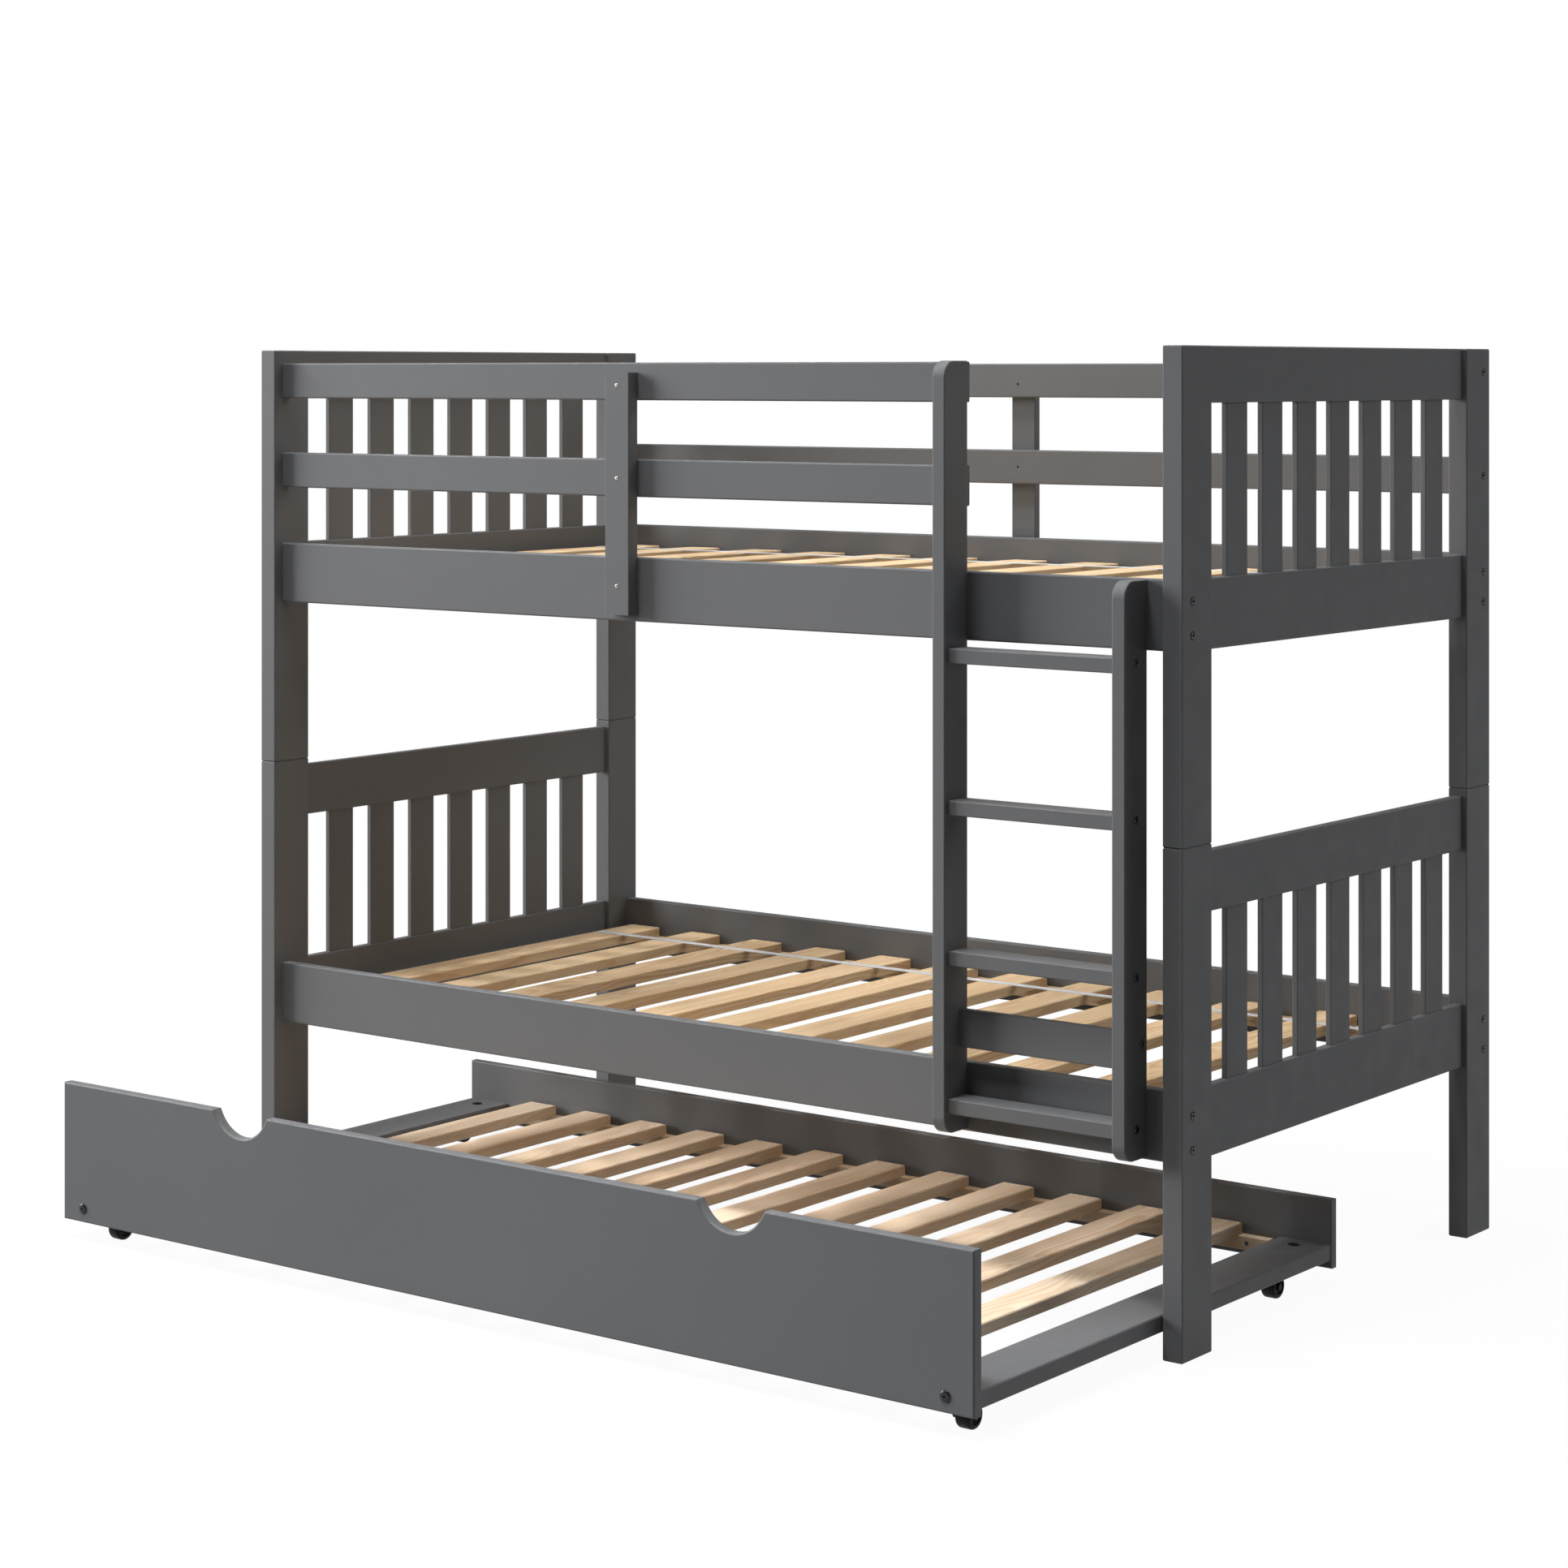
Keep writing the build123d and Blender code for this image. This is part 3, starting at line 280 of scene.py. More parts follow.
def makePineGroup():  # rings around a pith of its own under each board, with fibres, streaks and few knots
    group, given, out = newGroup(
        "pineFigure",
        {"Vector": "Vector", "Pitch": "Float", "Shift": "Float", "Level": "Float", "Knots": "Float",
         "Early Wood": "Color", "Late Wood": "Color"},
        {"Color": "Color", "Roughness": "Float", "Height": "Float"},
    )
    pith, ring, knot = figureLook["pith"], figureLook["rings"], figureLook["knots"]
    thread, streaky, seeds = figureLook["fibre"], figureLook["streaks"], figureLook["seeds"]

    # each board's number along X seeds its own random draws
    parts = addNode(group, "ShaderNodeSeparateXYZ", {0: given["Vector"]}).outputs
    counted = calc(group, "DIVIDE", plus(group, parts["X"], given["Shift"]), given["Pitch"])
    board = calc(group, "FLOOR", counted)
    across = times(group, minus(group, calc(group, "FRACT", counted), 0.5), given["Pitch"])
    seed = plus(group, times(group, board, seeds["board"]), times(group, given["Level"], seeds["level"]))
    chance, draws = randomDraws(group, seed)
    more = randomDraws(group, plus(group, seed, seeds["second"]))[1]
    jump = scaled(group, chance, seeds["jump"])

    # the distance from the board's pith, which wanders along the board
    along = plus(group, parts["Y"], times(group, draws[0], seeds["start"]))
    sway = swayAlong(group, joined(group, seed, times(group, along, pith["swayRate"]), 0.0), pith["sway"])
    lift = swayAlong(group, joined(group, 3.0, times(group, along, pith["liftRate"]), seed), pith["lift"])
    aside = plus(group, times(group, minus(group, draws[1], 0.5), pith["aside"]), sway)
    under = plus(group, remap(group, draws[2], 0.0, 1.0, *pith["depth"]), lift)
    u = plus(group, across, aside)
    v = plus(group, minus(group, parts["Z"], given["Level"]), under)
    reach = calc(group, "SQRT", plus(group, times(group, u, u), times(group, v, v)))
    stretched = vectorCalc(group, "MULTIPLY", given["Vector"], figureLook["stretch"])
    longPlace = vectorCalc(group, "ADD", stretched, jump)
    ripple = minus(group, noise(group, longPlace, ring["rippleScale"], 2.5), 0.5)
    ripple = times(group, ripple, ring["ripple"])

    # knots sit in some cells of a voronoi and bend the rings round them
    flat = vectorCalc(group, "ADD", vectorCalc(group, "MULTIPLY", given["Vector"], knot["stretch"]), jump)
    cellInputs = {"Vector": flat, "Scale": knot["scale"], "Randomness": 1.0}
    cell = addNode(group, "ShaderNodeTexVoronoi", cellInputs).outputs
    present = addNode(group, "ShaderNodeSeparateColor", {0: cell["Color"]}).outputs[0]
    present = calc(group, "LESS_THAN", present, given["Knots"])
    around = times(group, remap(group, cell["Distance"], *knot["halo"], smooth=True), present)
    core = times(group, remap(group, cell["Distance"], *knot["core"], smooth=True), present)
    reach = plus(group, plus(group, reach, ripple), times(group, around, knot["bend"]))

    # late wood darkens slowly outwards and stops at once at the next ring
    late = calc(group, "FRACT", calc(group, "DIVIDE", reach, remap(group, more[0], 0.0, 1.0, *ring["gap"])))
    rise = remap(group, late, *ring["rise"], smooth=True)
    line = times(group, rise, remap(group, late, *ring["fall"], smooth=True))
    soft = remap(group, noise(group, longPlace, ring["softScale"]), *ring["soft"])
    strength = times(group, remap(group, more[1], 0.0, 1.0, *ring["strength"]), soft)
    fibre = noise(group, vectorCalc(group, "MULTIPLY", given["Vector"], thread["scale"]), 1.0, 3.0, 0.6)
    streak = noise(group, vectorCalc(group, "MULTIPLY", longPlace, streaky["scale"]), 1.0)

    colour = given["Early Wood"]
    for share, tint in (
        (times(group, line, strength), given["Late Wood"]),
        (remap(group, fibre, *thread["range"], 0.0, thread["share"]), given["Late Wood"]),
        (remap(group, streak, *streaky["dark"], 0.0, streaky["darkShare"]), given["Late Wood"]),
        (remap(group, streak, *streaky["pale"], 0.0, streaky["paleShare"]), figureLook["paleColour"]),
        (times(group, around, knot["haloShare"]), figureLook["haloColour"]),
        (times(group, core, knot["coreShare"]), figureLook["coreColour"]),
    ):
        colour = mixColour(group, share, colour, tint)
    colour = scaled(group, colour, remap(group, more[2], 0.0, 1.0, *figureLook["tone"]))
    height = plus(group, times(group, fibre, thread["height"]), times(group, line, ring["height"]))
    group.links.new(colour, out.inputs["Color"])
    group.links.new(remap(group, line, 0.0, 1.0, *figureLook["rough"]), out.inputs["Roughness"])
    group.links.new(height, out.inputs["Height"])
    return group


coatVariation = makeCoatGroup()
pineFigure = makePineGroup()


# Materials

slatePaintLook = {
    "driftSize": 2.2,
    "gritSize": 900.0,
    "deep": (0.144, 0.148, 0.154, 1),
    "pale": (0.156, 0.160, 0.167, 1),
    "rough": (0.50, 0.60),
    "bump": 0.035,
    "bumpDepth": 0.0004,
    "specular": 0.30,
}


def makeSlatePaint():
    look = slatePaintLook
    material, tree, shader = newMaterial("slatePaint")
    sizes = {"Drift Size": look["driftSize"], "Grit Size": look["gritSize"]}
    coat = useGroup(tree, coatVariation, {"Vector": objectPlace(tree), **sizes})
    tree.links.new(mixColour(tree, coat["Tone"], look["deep"], look["pale"]), shader.inputs["Base Color"])
    rough = remap(tree, coat["Gloss"], *coatLook["glossRange"], *look["rough"])
    tree.links.new(rough, shader.inputs["Roughness"])
    tree.links.new(bumpFrom(tree, coat["Height"], look), shader.inputs["Normal"])
    shader.inputs["Specular IOR Level"].default_value = look["specular"]
    return material


pineLook = {
    # pitch of the boards along X and shift of the pattern
    "boards": {"deck": (0.16218, 0.992), "trundle": (0.14059, 0.0), "cleat": (0.9, 0.2)},
    "deck": ((0.920, 0.700, 0.440, 1), (0.640, 0.385, 0.185, 1)),
    # the trundle's pine is paler than the decks', partly its own tone and partly painted light standing in
    # for light the trundle slats lack
    "trundle": ((0.990, 0.825, 0.635, 1), (0.800, 0.545, 0.325, 1)),
    "knots": 0.16,
    "bump": 0.30,
    "bumpDepth": 0.0005,
    "specular": 0.25,
}


def makePine(node, wood, boards, turn=(0, 0, 0)):
    material, tree, shader = newMaterial(f"pine_{node}")
    pitch, shift = pineLook["boards"][boards]
    early, lateWood = pineLook[wood]
    figure = useGroup(tree, pineFigure, {
        "Vector": objectPlace(tree, turn), "Pitch": pitch, "Shift": shift, "Level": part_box(node)[1].z,
        "Knots": pineLook["knots"], "Early Wood": early, "Late Wood": lateWood,
    })
    tree.links.new(figure["Color"], shader.inputs["Base Color"])
    tree.links.new(figure["Roughness"], shader.inputs["Roughness"])
    tree.links.new(bumpFrom(tree, figure["Height"], pineLook), shader.inputs["Normal"])
    shader.inputs["Specular IOR Level"].default_value = pineLook["specular"]
    return material


hardLook = {
    key: dict(zip(("colour", "metallic", "rough", "specular"), values)) for key, values in {
        "black": ((0.030, 0.030, 0.032, 1), 0.70, (0.22, 0.34), 0.5),
        "grey": ((0.060, 0.060, 0.064, 1), 0.85, (0.20, 0.32), 0.5),
        # deep: near black, used as painted shade in bolt recesses and round bolt heads
        "deep": ((0.003, 0.003, 0.003, 1), 0.0, (0.50, 0.62), 0.1),
        "nickel": ((0.50, 0.47, 0.42, 1), 1.0, (0.34, 0.46), 0.5),
        "zinc": ((0.16, 0.16, 0.17, 1), 1.0, (0.30, 0.45), 0.5),
        "moulded": ((0.004, 0.004, 0.0045, 1), 0.0, (0.40, 0.52), 0.12),
    }.items()
}
hardCoat = {
    "driftSize": 40.0,
    "gritSize": 2400.0,
    "gain": 1.25,
    "lift": 0.003,
    "bump": 0.08,
    "bumpDepth": 0.0002,
}


def makeHardFinish(name, key):
    look = hardLook[key]
    material, tree, shader = newMaterial(name)
    sizes = {"Drift Size": hardCoat["driftSize"], "Grit Size": hardCoat["gritSize"]}
    coat = useGroup(tree, coatVariation, {"Vector": objectPlace(tree), **sizes})
    lifted = tuple(min(1.0, c * hardCoat["gain"] + hardCoat["lift"]) for c in look["colour"][:3]) + (1,)
    tree.links.new(mixColour(tree, coat["Tone"], look["colour"], lifted), shader.inputs["Base Color"])
    rough = remap(tree, coat["Gloss"], *coatLook["glossRange"], *look["rough"])
    tree.links.new(rough, shader.inputs["Roughness"])
    tree.links.new(bumpFrom(tree, coat["Height"], hardCoat), shader.inputs["Normal"])
    shader.inputs["Metallic"].default_value = look["metallic"]
    shader.inputs["Specular IOR Level"].default_value = look["specular"]
    return material


webbingLook = {
    "valley": (0.70, 0.71, 0.73, 1),
    "crest": (0.88, 0.89, 0.91, 1),
    "warpSize": 230.0,
    "weftSize": 150.0,
    "fuzzSize": 700.0,
    "fuzzTone": (0.4, 0.7, 0.0, 0.25),
    "fuzzRange": (0.3, 0.7),
    "fuzzHeight": 0.4,
    "rough": (0.70, 0.92),
    "bump": 0.5,
    "bumpDepth": 0.0004,
    "sheen": 0.15,
}


def threads(tree, place, size, direction):
    inputs = {"Vector": place, "Scale": size}
    return addNode(tree, "ShaderNodeTexWave", inputs, bands_direction=direction).outputs["Fac"]


def makeWebbing():  # flat woven tape: two crossing waves, one for each direction of thread
    look = webbingLook
    material, tree, shader = newMaterial("webbing")
    place = objectPlace(tree)
    warp, weft = threads(tree, place, look["warpSize"], "Y"), threads(tree, place, look["weftSize"], "X")
    weave = times(tree, warp, weft)
    fuzz = noise(tree, place, look["fuzzSize"], 3.0)
    colour = mixColour(tree, weave, look["valley"], look["crest"])
    colour = mixColour(tree, remap(tree, fuzz, *look["fuzzTone"]), colour, look["valley"])
    tree.links.new(colour, shader.inputs["Base Color"])
    tree.links.new(remap(tree, fuzz, *look["fuzzRange"], *look["rough"]), shader.inputs["Roughness"])
    height = plus(tree, weave, times(tree, fuzz, look["fuzzHeight"]))
    tree.links.new(bumpFrom(tree, height, look), shader.inputs["Normal"])
    shader.inputs["Sheen Weight"].default_value = look["sheen"]
    return material


slatePaint = makeSlatePaint()
blackSteel = makeHardFinish("blackSteel", "black")
greySteel = makeHardFinish("greySteel", "grey")
# near black finish that paints the shade in bolt recesses and round bolt heads
paintedShadeBlack = makeHardFinish("paintedShadeBlack", "deep")
warmNickel = makeHardFinish("warmNickel", "nickel")
zincSteel = makeHardFinish("zincSteel", "zinc")
blackPlastic = makeHardFinish("blackPlastic", "moulded")
webbing = makeWebbing()
slotFinish = {
    "paint": slatePaint,
    "webbing": webbing,
    "black_steel": blackSteel,
    "nickel": warmNickel,
    "steel": zincSteel,
    "black_plastic": blackPlastic,
}


def pineFinishes():  # each set of boards starts from its own level, so that it differs from the other sets
    quarter = (0, 0, math.radians(90))
    return {
        "lower_deck_slats": makePine("lower_deck_slats", "deck", "deck"),
        "upper_deck_slats": makePine("upper_deck_slats", "deck", "deck"),
        "trundle_slats": makePine("trundle_slats", "trundle", "trundle"),
        "trundle_cleats": makePine("trundle_cleats", "trundle", "cleat", quarter),
        "deck_cleats": makePine("deck_cleats", "deck", "cleat", quarter),
    }


def dressFrame():
    slots = {part["node"]: part["material_slot"] for part in frame["record"]["subparts"]}
    finishes = pineFinishes()
    for name, node in nodes.items():
        node.data.materials.clear()
        node.data.materials.append(finishes[name] if name in finishes else slotFinish[slots[name]])


dressFrame()
print("finishes placed on the frame")


# Bolts, screws, nuts and pins

# each head's second value is the width of the painted shade ring round it, under the dome
boltHeads = {
    kind: dict(zip(("radius", "shadeRim", "rise", "flat", "key", "sink", "sides"), values)) for kind, values in {
        "rail": (0.0068, 0.0013, 0.0016, 0.60, 0.0024, 0.0022, 36),
        "upright": (0.0040, 0.0004, 0.0010, 0.60, 0.0014, 0.0014, 24),
        "trundle": (0.0093, 0.0, 0.0030, 0.42, 0.0018, 0.0026, 48),
        "screw": (0.0040, 0.0, 0.0008, 0.60, 0.0016, 0.0006, 24),
    }.items()
}
# wall and the painted shade rim's top are shares of a head's rise, mouth is a share of its key
domeLook = {"steps": 5, "wall": 0.25, "curve": 1.6, "mouth": 1.1, "shadeRimTop": 0.28}


def keySocket(verts, key):  # turns the round mouth of the recess into a hexagon
    for vert in verts:
        angle = math.atan2(vert.co.y, vert.co.x) % math.radians(60) - math.radians(30)
        vert.co.xy = vert.co.xy.normalized() * key / math.cos(angle)


def boltDome(look):  # button head that flattens towards its hexagonal mouth
    radius, rise, flat = look["radius"] - look["shadeRim"], look["rise"], look["flat"]
    wall, steps = domeLook["wall"], domeLook["steps"]
    profile = [(radius, 0.0), (radius, rise * wall)]
    for step in range(1, steps + 1):
        share = step / steps
        width = radius * (1 - (1 - flat) * share ** domeLook["curve"])
        profile.append((width, rise * (wall + (1 - wall) * math.sin(math.radians(90) * share))))
    profile.append((look["key"] * domeLook["mouth"], rise))
    dome, rings = turned(profile, look["sides"], capStart=False, capEnd=False)
    keySocket(rings[-1], look["key"])
    return dome


def paintedBoltShade(look):  # painted shade of a head: its hexagonal recess and a rim round the dome, near black to stand in for the shade there
    rise, sink, mouth = look["rise"], look["sink"], look["key"] * domeLook["mouth"]
    shade, rings = turned([(mouth, rise), (mouth, rise - sink)], look["sides"], capStart=False)
    keySocket(rings[0] + rings[1], look["key"])
    if look["shadeRim"] > 0:
        outer, inner, top = look["radius"], look["radius"] - look["shadeRim"], rise * domeLook["shadeRimTop"]
        joinInto(shade, turned([(outer, 0.0), (outer, top), (inner, top)], look["sides"], False, False)[0])
    return shade


def makeHeads(name, key, places, material, body, slotName, node):
    # each head is a dome and a near black piece that paints the shade in its recess and round its edge
    for part, shape, finish in (("", boltDome, material), ("PaintedShade", paintedBoltShade, paintedShadeBlack)):
        bm = bmesh.new()
        for place, direction in places:
            joinInto(bm, shape(boltHeads[key]), facing(place, direction))
        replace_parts(newPiece(name + part, bm, finish, body), node)


railBolts = {"low": 0.0232, "high": 0.0767, "upperRise": 0.0026, "guardTopDrop": 0.262}


def railBoltPlaces():
    places = []
    for wall in ("front", "back"):
        rows = []
        for level, extra in (("lower", 0.0), ("upper", railBolts["upperRise"])):
            low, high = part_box(f"{level}_{wall}_side_rail")
            heights = [low.z + extra + railBolts[key] for key in ("low", "high")]
            rows += [(level, side, z) for side in ("left", "right") for z in heights]
        top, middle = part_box(f"{wall}_guard_top_rail"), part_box(f"{wall}_guard_middle_rail")
        drop = railBolts["guardTopDrop"] * (top[1].z - top[0].z)
        guard = [top[1].z - drop, (middle[0].z + middle[1].z) / 2]
        sides = ("left", "right") if wall == "back" else ("left",)
        rows += [("upper", side, z) for side in sides for z in guard]
        for level, side, z in rows:
            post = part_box(f"{level}_post_{wall}_{side}")
            face, way = (post[0].x, -1) if side == "left" else (post[1].x, 1)
            places.append(((face, (low.y + high.y) / 2, z), (way, 0, 0)))
    return places


uprightBolts = {"topRise": 0.394, "lowDrop": 0.0500}


def uprightBoltPlaces():
    places = []
    for wall, way in (("front", -1), ("back", 1)):
        low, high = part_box(f"{wall}_guard_upright")
        top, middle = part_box(f"{wall}_guard_top_rail"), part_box(f"{wall}_guard_middle_rail")
        heights = (
            top[0].z + uprightBolts["topRise"] * (top[1].z - top[0].z), (middle[0].z + middle[1].z) / 2,
            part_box(f"upper_{wall}_side_rail")[1].z - uprightBolts["lowDrop"],
        )
        places += [(((low.x + high.x) / 2, low.y if way < 0 else high.y, z), (0, way, 0)) for z in heights]
    return places


ladderBolts = {
    "rungHeight": 0.024,
    "shares": (0.0, 0.32823, 0.66256, 1.0),  # the rungs' heights between the first and the last
    "rises": (0.0032, 0.0005, 0.0042, 0.0042),
    "braceRise": 0.013,
    "railDrop": 0.025,
}


def ladderBoltPlaces():
    look, places = ladderBolts, []
    rungs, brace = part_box("ladder_rungs"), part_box("ladder_brace")
    rungY, braceY = (rungs[0].y + rungs[1].y) / 2, (brace[0].y + brace[1].y) / 2
    first, last = rungs[0].z + look["rungHeight"] / 2, rungs[1].z - look["rungHeight"] / 2
    rungPlaces = zip(look["shares"], look["rises"])
    holes = [(rungY, first + share * (last - first) + rise) for share, rise in rungPlaces]
    holes.append((braceY, (brace[0].z + brace[1].z) / 2 + look["braceRise"]))
    for side, way in (("left", -1), ("right", 1)):
        low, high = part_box(f"ladder_stile_{side}")
        places += [((low.x if way < 0 else high.x, y, z), (way, 0, 0)) for y, z in holes]
        for level in ("lower", "upper"):
            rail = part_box(f"{level}_front_side_rail")
            places.append((((low.x + high.x) / 2, rail[1].y, rail[1].z - look["railDrop"]), (0, 1, 0)))
    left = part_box("ladder_stile_left")
    for guard in ("top", "middle"):
        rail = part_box(f"front_guard_{guard}_rail")
        places.append((((left[0].x + rail[1].x) / 2, rail[1].y, (rail[0].z + rail[1].z) / 2), (0, 1, 0)))
    return places


trundleBolts = {"rise": 0.0015}


def trundleBoltPlaces():
    places = []
    for side in ("left", "right"):
        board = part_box(f"trundle_end_board_{side}")
        x, z = (board[0].x + board[1].x) / 2, (board[0].z + board[1].z) / 2 + trundleBolts["rise"]
        places.append(((x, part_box("trundle_front")[0].y, z), (0, -1, 0)))
        places.append(((x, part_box("trundle_back")[1].y, z), (0, 1, 0)))
    return places


nutLook = {
    "inset": 0.035,
    "top": 0.007,
    "height": 0.014,
    "radius": 0.0118,
    "edge": 0.0008,
    "sides": 36,
    "ridge": (0.0177, 0.0016, 0.0006),
    "ridgeEase": 0.0002,
}


def makePocketNuts():  # barrel nuts down in the round pockets of the end boards; their black finish is painted shade that keeps the pockets dark
    bm = bmesh.new()
    radius, tall, edge = nutLook["radius"], nutLook["height"], nutLook["edge"]
    for side in ("left", "right"):
        low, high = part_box(f"trundle_end_board_{side}")
        for y in (low.y + nutLook["inset"], high.y - nutLook["inset"]):
            nut = turned([(radius, 0.0), (radius, tall - edge), (radius - edge, tall)], nutLook["sides"])[0]
            joinInto(nut, block(nutLook["ridge"], nutLook["ridgeEase"]), Matrix.Translation((0, 0, tall)))
            joinInto(bm, nut, Matrix.Translation(((low.x + high.x) / 2, y, high.z - nutLook["top"] - tall)))
    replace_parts(newPiece("pocketNuts", bm, blackSteel, "trundle"), "trundle_fixings")


screwLook = {"deckEnd": 0.057, "trundleEnd": 0.042, "count": 5, "cleatWidth": 0.020, "drop": 0.012}


def screwRow(faces, low, high, z, end):
    count = screwLook["count"]
    step = (high.x - low.x - 2 * end) / (count - 1)
    return [((low.x + end + i * step, y, z), (0, way, 0)) for y, way in faces for i in range(count)]


def deckScrewPlaces():
    cleats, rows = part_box("deck_cleats"), []
    for level in ("lower", "upper"):
        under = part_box(f"{level}_deck_slats")[0].z
        front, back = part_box(f"{level}_front_side_rail")[1].y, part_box(f"{level}_back_side_rail")[0].y
        faces = ((front + screwLook["cleatWidth"], 1), (back - screwLook["cleatWidth"], -1))
        rows += screwRow(faces, cleats[0], cleats[1], under - screwLook["drop"], screwLook["deckEnd"])
    return rows


def trundleScrewPlaces():
    low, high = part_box("trundle_cleats")
    faces = ((low.y + screwLook["cleatWidth"], 1), (high.y - screwLook["cleatWidth"], -1))
    return screwRow(faces, low, high, (low.z + high.z) / 2, screwLook["trundleEnd"])


for headSet in (
    ("railBoltHeads", "rail", railBoltPlaces(), greySteel, "bunk", "black_steel", "rail_bolts"),
    ("uprightBoltHeads", "upright", uprightBoltPlaces(), warmNickel, "bunk", "nickel", "upright_bolts"),
    ("ladderBoltHeads", "rail", ladderBoltPlaces(), greySteel, "bunk", "black_steel", "ladder_bolts"),
    ("trundleBoltHeads", "trundle", trundleBoltPlaces(), blackSteel, "trundle", "black_steel",
     "trundle_fixings"),
    ("deckCleatScrews", "screw", deckScrewPlaces(), blackSteel, "bunk", "black_steel", "cleat_screws"),
    ("trundleCleatScrews", "screw", trundleScrewPlaces(), blackSteel, "trundle", "black_steel",
     "trundle_fixings"),
):
    makeHeads(*headSet)
makePocketNuts()


pinLook = {
    "radius": 0.0014,
    "rise": 0.0002,
    "shoulder": 0.5,  # share of the rise
    "flat": 0.6,  # share of the radius
    "apart": 0.030,
    "inset": 0.012,
    "wander": 0.003,
    "sides": 10,
}
slatRows = {
    "deckWidth": 0.078,
    "deckEven": 10,
    "deckShare": 0.0887,
    "trundleWidth": 0.0655,
    "trundleCount": 12,
}


def deckSlatCentres(low, high):  # ten slats keep one pitch, the other two share what is left
    look = slatRows
    first, last = low.x + look["deckWidth"] / 2, high.x - look["deckWidth"] / 2
    places = [first + i * (last - first) * look["deckShare"] for i in range(look["deckEven"])]
    return places + [(places[-1] + last) / 2, last]


def trundleSlatCentres(low, high):
    look = slatRows
    first, last = low.x + look["trundleWidth"] / 2, high.x - look["trundleWidth"] / 2
    return [first + i * (last - first) / (look["trundleCount"] - 1) for i in range(look["trundleCount"])]


def makePins():  # heads of the pins that hold the slats' ends, two to an end
    look = pinLook
    radius, rise = look["radius"], look["rise"]
    profile = [(radius, -rise), (radius, rise * look["shoulder"]), (radius * look["flat"], rise)]
    for name, node, centres, body in (
        ("lowerSlatPins", "lower_deck_slats", deckSlatCentres, "bunk"),
        ("upperSlatPins", "upper_deck_slats", deckSlatCentres, "bunk"),
        ("trundleSlatPins", "trundle_slats", trundleSlatCentres, "trundle"),
    ):
        low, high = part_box(node)
        bm = bmesh.new()
        for x in centres(low, high):
            for y in (low.y + look["inset"], high.y - look["inset"]):
                for side in (-0.5, 0.5):
                    pin = turned(profile, look["sides"], capStart=False)[0]
                    wander = Vector((random.uniform(-1, 1), random.uniform(-1, 1), 0)) * look["wander"]
                    place = Vector((x + side * look["apart"], y, high.z)) + wander
                    joinInto(bm, pin, Matrix.Translation(place))
        newPiece(name, bm, blackSteel, body)


makePins()
print("bolts, screws and pins placed")


# Webbing straps on the bunk's decks

strapLook = {"width": 0.020, "thick": 0.0010, "inset": 0.124, "endInset": 0.006, "steps": 120, "rows": 4}


def makeStraps():
    bm = bmesh.new()
    for level in ("lower", "upper"):
        low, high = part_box(f"{level}_deck_slats")
        front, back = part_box(f"{level}_front_side_rail")[1].y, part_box(f"{level}_back_side_rail")[0].y
        long = high.x - low.x - 2 * strapLook["endInset"]
        for y in (front + strapLook["inset"], back - strapLook["inset"]):
            tape = bmesh.new()
            bmesh.ops.create_grid(tape, x_segments=strapLook["steps"], y_segments=strapLook["rows"], size=0.5)
            bmesh.ops.scale(tape, verts=tape.verts, vec=(long, strapLook["width"], 1))
            bmesh.ops.solidify(tape, geom=tape.faces, thickness=-strapLook["thick"])
            joinInto(bm, tape, Matrix.Translation(((low.x + high.x) / 2, y, high.z)))
    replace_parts(newPiece("webbingStraps", bm, webbing, "bunk", 60), "deck_straps")


makeStraps()
print("straps laid")


# Casters

wheelLook = {
    "sides": 56,
    "ribs": 6,
    "ribSize": (0.0058, 0.0016, 0.0016),
    "ribEase": 0.0003,
    "ribPlace": (0.460, 0.890),
    "profile": (  # radius and place across the wheel as shares of its radius and width
        # hub and dish, inner side
        (0.155, 0.025), (0.320, 0.025), (0.340, 0.040), (0.345, 0.115), (0.370, 0.130),
        (0.600, 0.130), (0.625, 0.115), (0.632, 0.020), (0.660, 0.000), (0.750, 0.000),
        # tread
        (0.846, 0.015), (0.927, 0.056), (0.981, 0.119), (1.000, 0.192), (1.000, 0.500),
        (1.000, 0.808), (0.981, 0.881), (0.927, 0.944), (0.846, 0.985), (0.750, 1.000),
        # dish and hub, outer side
        (0.660, 1.000), (0.632, 0.980), (0.625, 0.895), (0.600, 0.880), (0.370, 0.880),
        (0.320, 0.895), (0.300, 0.985), (0.285, 1.000), (0.155, 1.000),
    ),
}


def makeWheel(wall, side):
    node = f"caster_wheel_{wall}_{side}"
    low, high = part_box(node)
    radius, width = (high.z - low.z) / 2, high.x - low.x
    heading = -1 if (wall, side) == ("back", "left") else 1
    points = [(r * radius, z * width) for r, z in wheelLook["profile"]]
    wheel = turned(points, wheelLook["sides"], capStart=False, capEnd=False)[0]
    bmesh.ops.bridge_loops(wheel, edges=[edge for edge in wheel.edges if edge.is_boundary])
    for i in range(wheelLook["ribs"]):
        rib = block(wheelLook["ribSize"], wheelLook["ribEase"])
        spin = Matrix.Rotation(math.radians(360 * i / wheelLook["ribs"]), 4, "Z")
        out, across = wheelLook["ribPlace"]
        joinInto(wheel, rib, spin @ Matrix.Translation((radius * out, 0, width * across)))
    start = low.x if heading > 0 else high.x
    bm = bmesh.new()
    joinInto(bm, wheel, facing((start, (low.y + high.y) / 2, (low.z + high.z) / 2), (heading, 0, 0)))
    body = f"wheel_{wall}_{side}"
    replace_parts(newPiece(f"{body}_tread", bm, blackPlastic, body, 40), node)


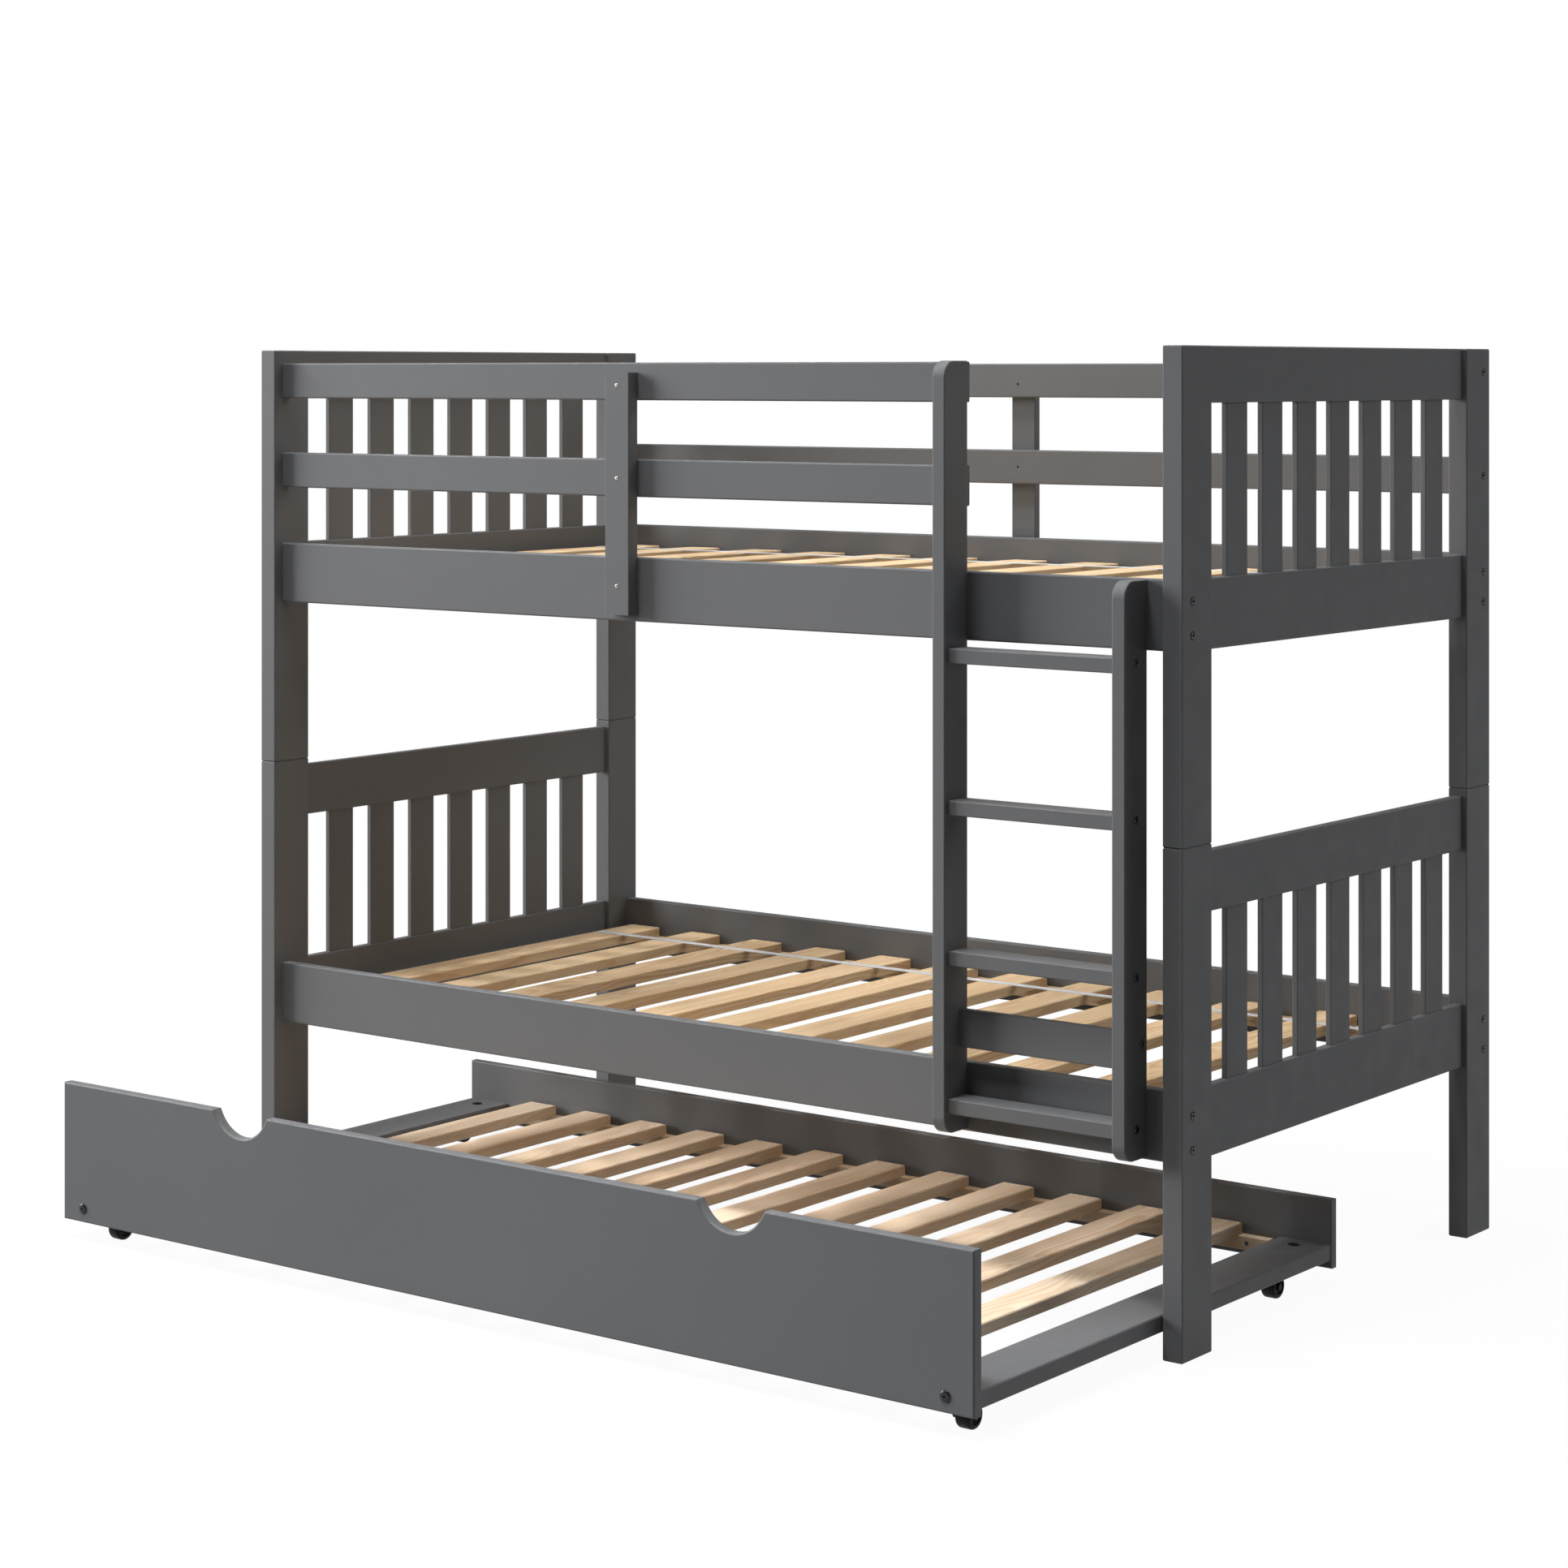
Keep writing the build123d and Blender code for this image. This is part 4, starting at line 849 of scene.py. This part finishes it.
armLook = {
    "flange": 0.009,
    "stem": (  # radius and height of the post and the pin above it
        (0.0060, 0.0120), (0.0075, 0.0135), (0.0075, 0.0393), (0.0067, 0.0405), (0.0040, 0.0405),
        (0.0040, 0.0570), (0.0032, 0.0578),
    ),
    "axle": (
        (0.0030, 0.0100), (0.0030, 0.0371), (0.0060, 0.0371), (0.0060, 0.0379), (0.0050, 0.0385),
        (0.0025, 0.0387),
    ),
    "sides": 32,
    "trail": 0.0225,
    "axleHeight": 0.020,
    "cheekRadius": 0.008,
    "cheekReach": 0.0105,
    "cheekSides": 28,
    "rootSize": (0.0105, 0.0075, 0.0285),
    "rootBase": 0.012,
    "rootEase": 0.0004,
}


def makeArm(wall, side):  # an offset arm: its hull runs from the root beside the stem down to the axle
    look = armLook
    low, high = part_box("caster_sockets")
    pivot = (low.x + look["flange"] if side == "left" else high.x - look["flange"],
             low.y + look["flange"] if wall == "front" else high.y - look["flange"], 0)
    heading = 180 if (wall, side) == ("back", "left") else 0
    cheek = bmesh.new()
    reach, radius, root = look["cheekReach"], look["cheekRadius"], look["rootSize"]
    axlePlace = Vector((0, -look["trail"], look["axleHeight"]))
    middle = facing(axlePlace + Vector((reach / 2, 0, 0)), (1, 0, 0))
    bmesh.ops.create_cone(
        cheek, cap_ends=True, segments=look["cheekSides"], radius1=radius, radius2=radius, depth=reach)
    bmesh.ops.transform(cheek, matrix=middle, verts=cheek.verts)
    rootPlace = Matrix.Translation((root[0] / 2, root[1] / 2, look["rootBase"] + root[2] / 2))
    joinInto(cheek, block(root, look["rootEase"], 1), rootPlace)
    hull = bmesh.ops.convex_hull(cheek, input=cheek.verts, use_existing_faces=False)
    inside = [g for g in hull["geom_interior"] if isinstance(g, bmesh.types.BMVert)]
    bmesh.ops.delete(cheek, geom=inside, context="VERTS")
    bm = bmesh.new()
    joinInto(bm, cheek)
    joinInto(bm, turned(look["stem"], look["sides"])[0])
    joinInto(bm, turned(look["axle"], look["sides"])[0], facing(axlePlace, (1, 0, 0)))
    placed = Matrix.Translation(pivot) @ Matrix.Rotation(math.radians(heading), 4, "Z")
    bmesh.ops.transform(bm, matrix=placed, verts=bm.verts)
    piece = newPiece(f"arm_{wall}_{side}", bm, blackPlastic, f"swivel_{wall}_{side}", 40)
    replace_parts(piece, f"caster_arm_{wall}_{side}")


for wallName in ("front", "back"):
    for sideName in ("left", "right"):
        makeWheel(wallName, sideName)
        makeArm(wallName, sideName)
print("casters turned")


# Stage, lights and camera

stageLook = {"size": 60.0, "share": 0.045, "near": 1.6, "far": 3.2, "tone": 0.85, "bounce": 0.18}


def makeFloor():  # white to the camera, but for a small share near the bed that keeps its shadow
    bm = bmesh.new()
    bmesh.ops.create_grid(bm, x_segments=1, y_segments=1, size=stageLook["size"])
    mesh = bpy.data.meshes.new("floor")
    bm.to_mesh(mesh)
    bm.free()
    floor = bpy.data.objects.new("floor", mesh)
    bpy.context.scene.collection.objects.link(floor)
    material, tree, shader = newMaterial("floorWhite")
    rays = addNode(tree, "ShaderNodeLightPath").outputs
    mirrored = plus(tree, rays["Is Glossy Ray"], rays["Is Transmission Ray"])
    seen = plus(tree, rays["Is Camera Ray"], mirrored, clamp=True)
    bounce, tone = ((stageLook[key],) * 3 + (1,) for key in ("bounce", "tone"))
    shade = mixColour(tree, rays["Is Camera Ray"], bounce, tone)
    tree.links.new(shade, shader.inputs["Base Color"])
    shader.inputs["Roughness"].default_value = 1.0
    shader.inputs["Specular IOR Level"].default_value = 0.0
    white = addNode(tree, "ShaderNodeEmission", {"Color": (1, 1, 1, 1), "Strength": 1.0})
    away = addNode(tree, "ShaderNodeVectorMath", {0: objectPlace(tree)}, operation="LENGTH").outputs["Value"]
    share = remap(tree, away, stageLook["near"], stageLook["far"], 1 - stageLook["share"], 1.0, smooth=True)
    shaders = {0: times(tree, seen, share), 1: shader.outputs[0], 2: white.outputs[0]}
    mixed = addNode(tree, "ShaderNodeMixShader", shaders)
    tree.links.new(mixed.outputs[0], tree.nodes["Material Output"].inputs["Surface"])
    mesh.materials.append(material)


lightLook = {
    "world": 0.009,
    "worldGloss": 0.22,
    "bed": (0.0, 0.2, 0.7),
    "drawer": (-0.05, -0.62, 0.1),
    # name, aim, degrees round from the front to the left, degrees up, distance, size, spread, power
    "lamps": (
        ("keyBox", "bed", 65, 15, 20.0, 8.0, 180, 3600.0),
        ("highBox", "bed", 80, 32, 20.0, 2.6, 180, 1850.0),
        ("topBox", "bed", 0, 88, 10.0, 6.0, 180, 720.0),
        ("rearBox", "bed", -125, 35, 14.0, 8.0, 180, 400.0),
        ("drawerBox", "drawer", 10, 74, 9.0, 1.6, 30, 16.0),
    ),
}


def makeWorld():
    world = bpy.data.worlds.new("studio")
    bpy.context.scene.world = world
    world.use_nodes = True
    tree = world.node_tree
    background = tree.nodes["Background"]
    rays = addNode(tree, "ShaderNodeLightPath").outputs
    seen = plus(tree, rays["Is Camera Ray"], rays["Is Transmission Ray"], clamp=True)
    background.inputs["Color"].default_value = (1, 1, 1, 1)
    spread = remap(tree, rays["Is Glossy Ray"], 0.0, 1.0, lightLook["world"], lightLook["worldGloss"])
    tree.links.new(calc(tree, "MAXIMUM", seen, spread), background.inputs["Strength"])


def makeLights():
    for name, aim, azimuth, elevation, distance, size, spread, power in lightLook["lamps"]:
        around, up = math.radians(azimuth), math.radians(elevation)
        way = Vector((-math.sin(around) * math.cos(up), -math.cos(around) * math.cos(up), math.sin(up)))
        lamp = bpy.data.lights.new(name, "AREA")
        lamp.shape = "SQUARE"
        lamp.size = size
        lamp.spread = math.radians(spread)
        lamp.energy = power
        holder = bpy.data.objects.new(name, lamp)
        holder.location = Vector(lightLook[aim]) + way * distance
        holder.rotation_euler = (-way).to_track_quat("-Z", "Y").to_euler()
        bpy.context.scene.collection.objects.link(holder)


cameraLook = {
    "place": (3.7554, -4.8929, 1.53012),
    "turn": 37.312,
    "lens": 79.31,
    "sensor": 36.0,
    "shiftY": -0.2614,
    "far": 200.0,
}


def makeCamera():
    camera = bpy.data.objects.new("camera", bpy.data.cameras.new("camera"))
    camera.data.lens = cameraLook["lens"]
    camera.data.sensor_width = cameraLook["sensor"]
    camera.data.shift_y = cameraLook["shiftY"]
    camera.data.clip_end = cameraLook["far"]
    camera.location = cameraLook["place"]
    camera.rotation_euler = (math.radians(90), 0, math.radians(cameraLook["turn"]))
    bpy.context.scene.collection.objects.link(camera)
    bpy.context.scene.camera = camera


makeFloor()
makeWorld()
makeLights()
makeCamera()
bpy.context.scene.view_settings.view_transform = "Standard"
print("stage, lights and camera placed")
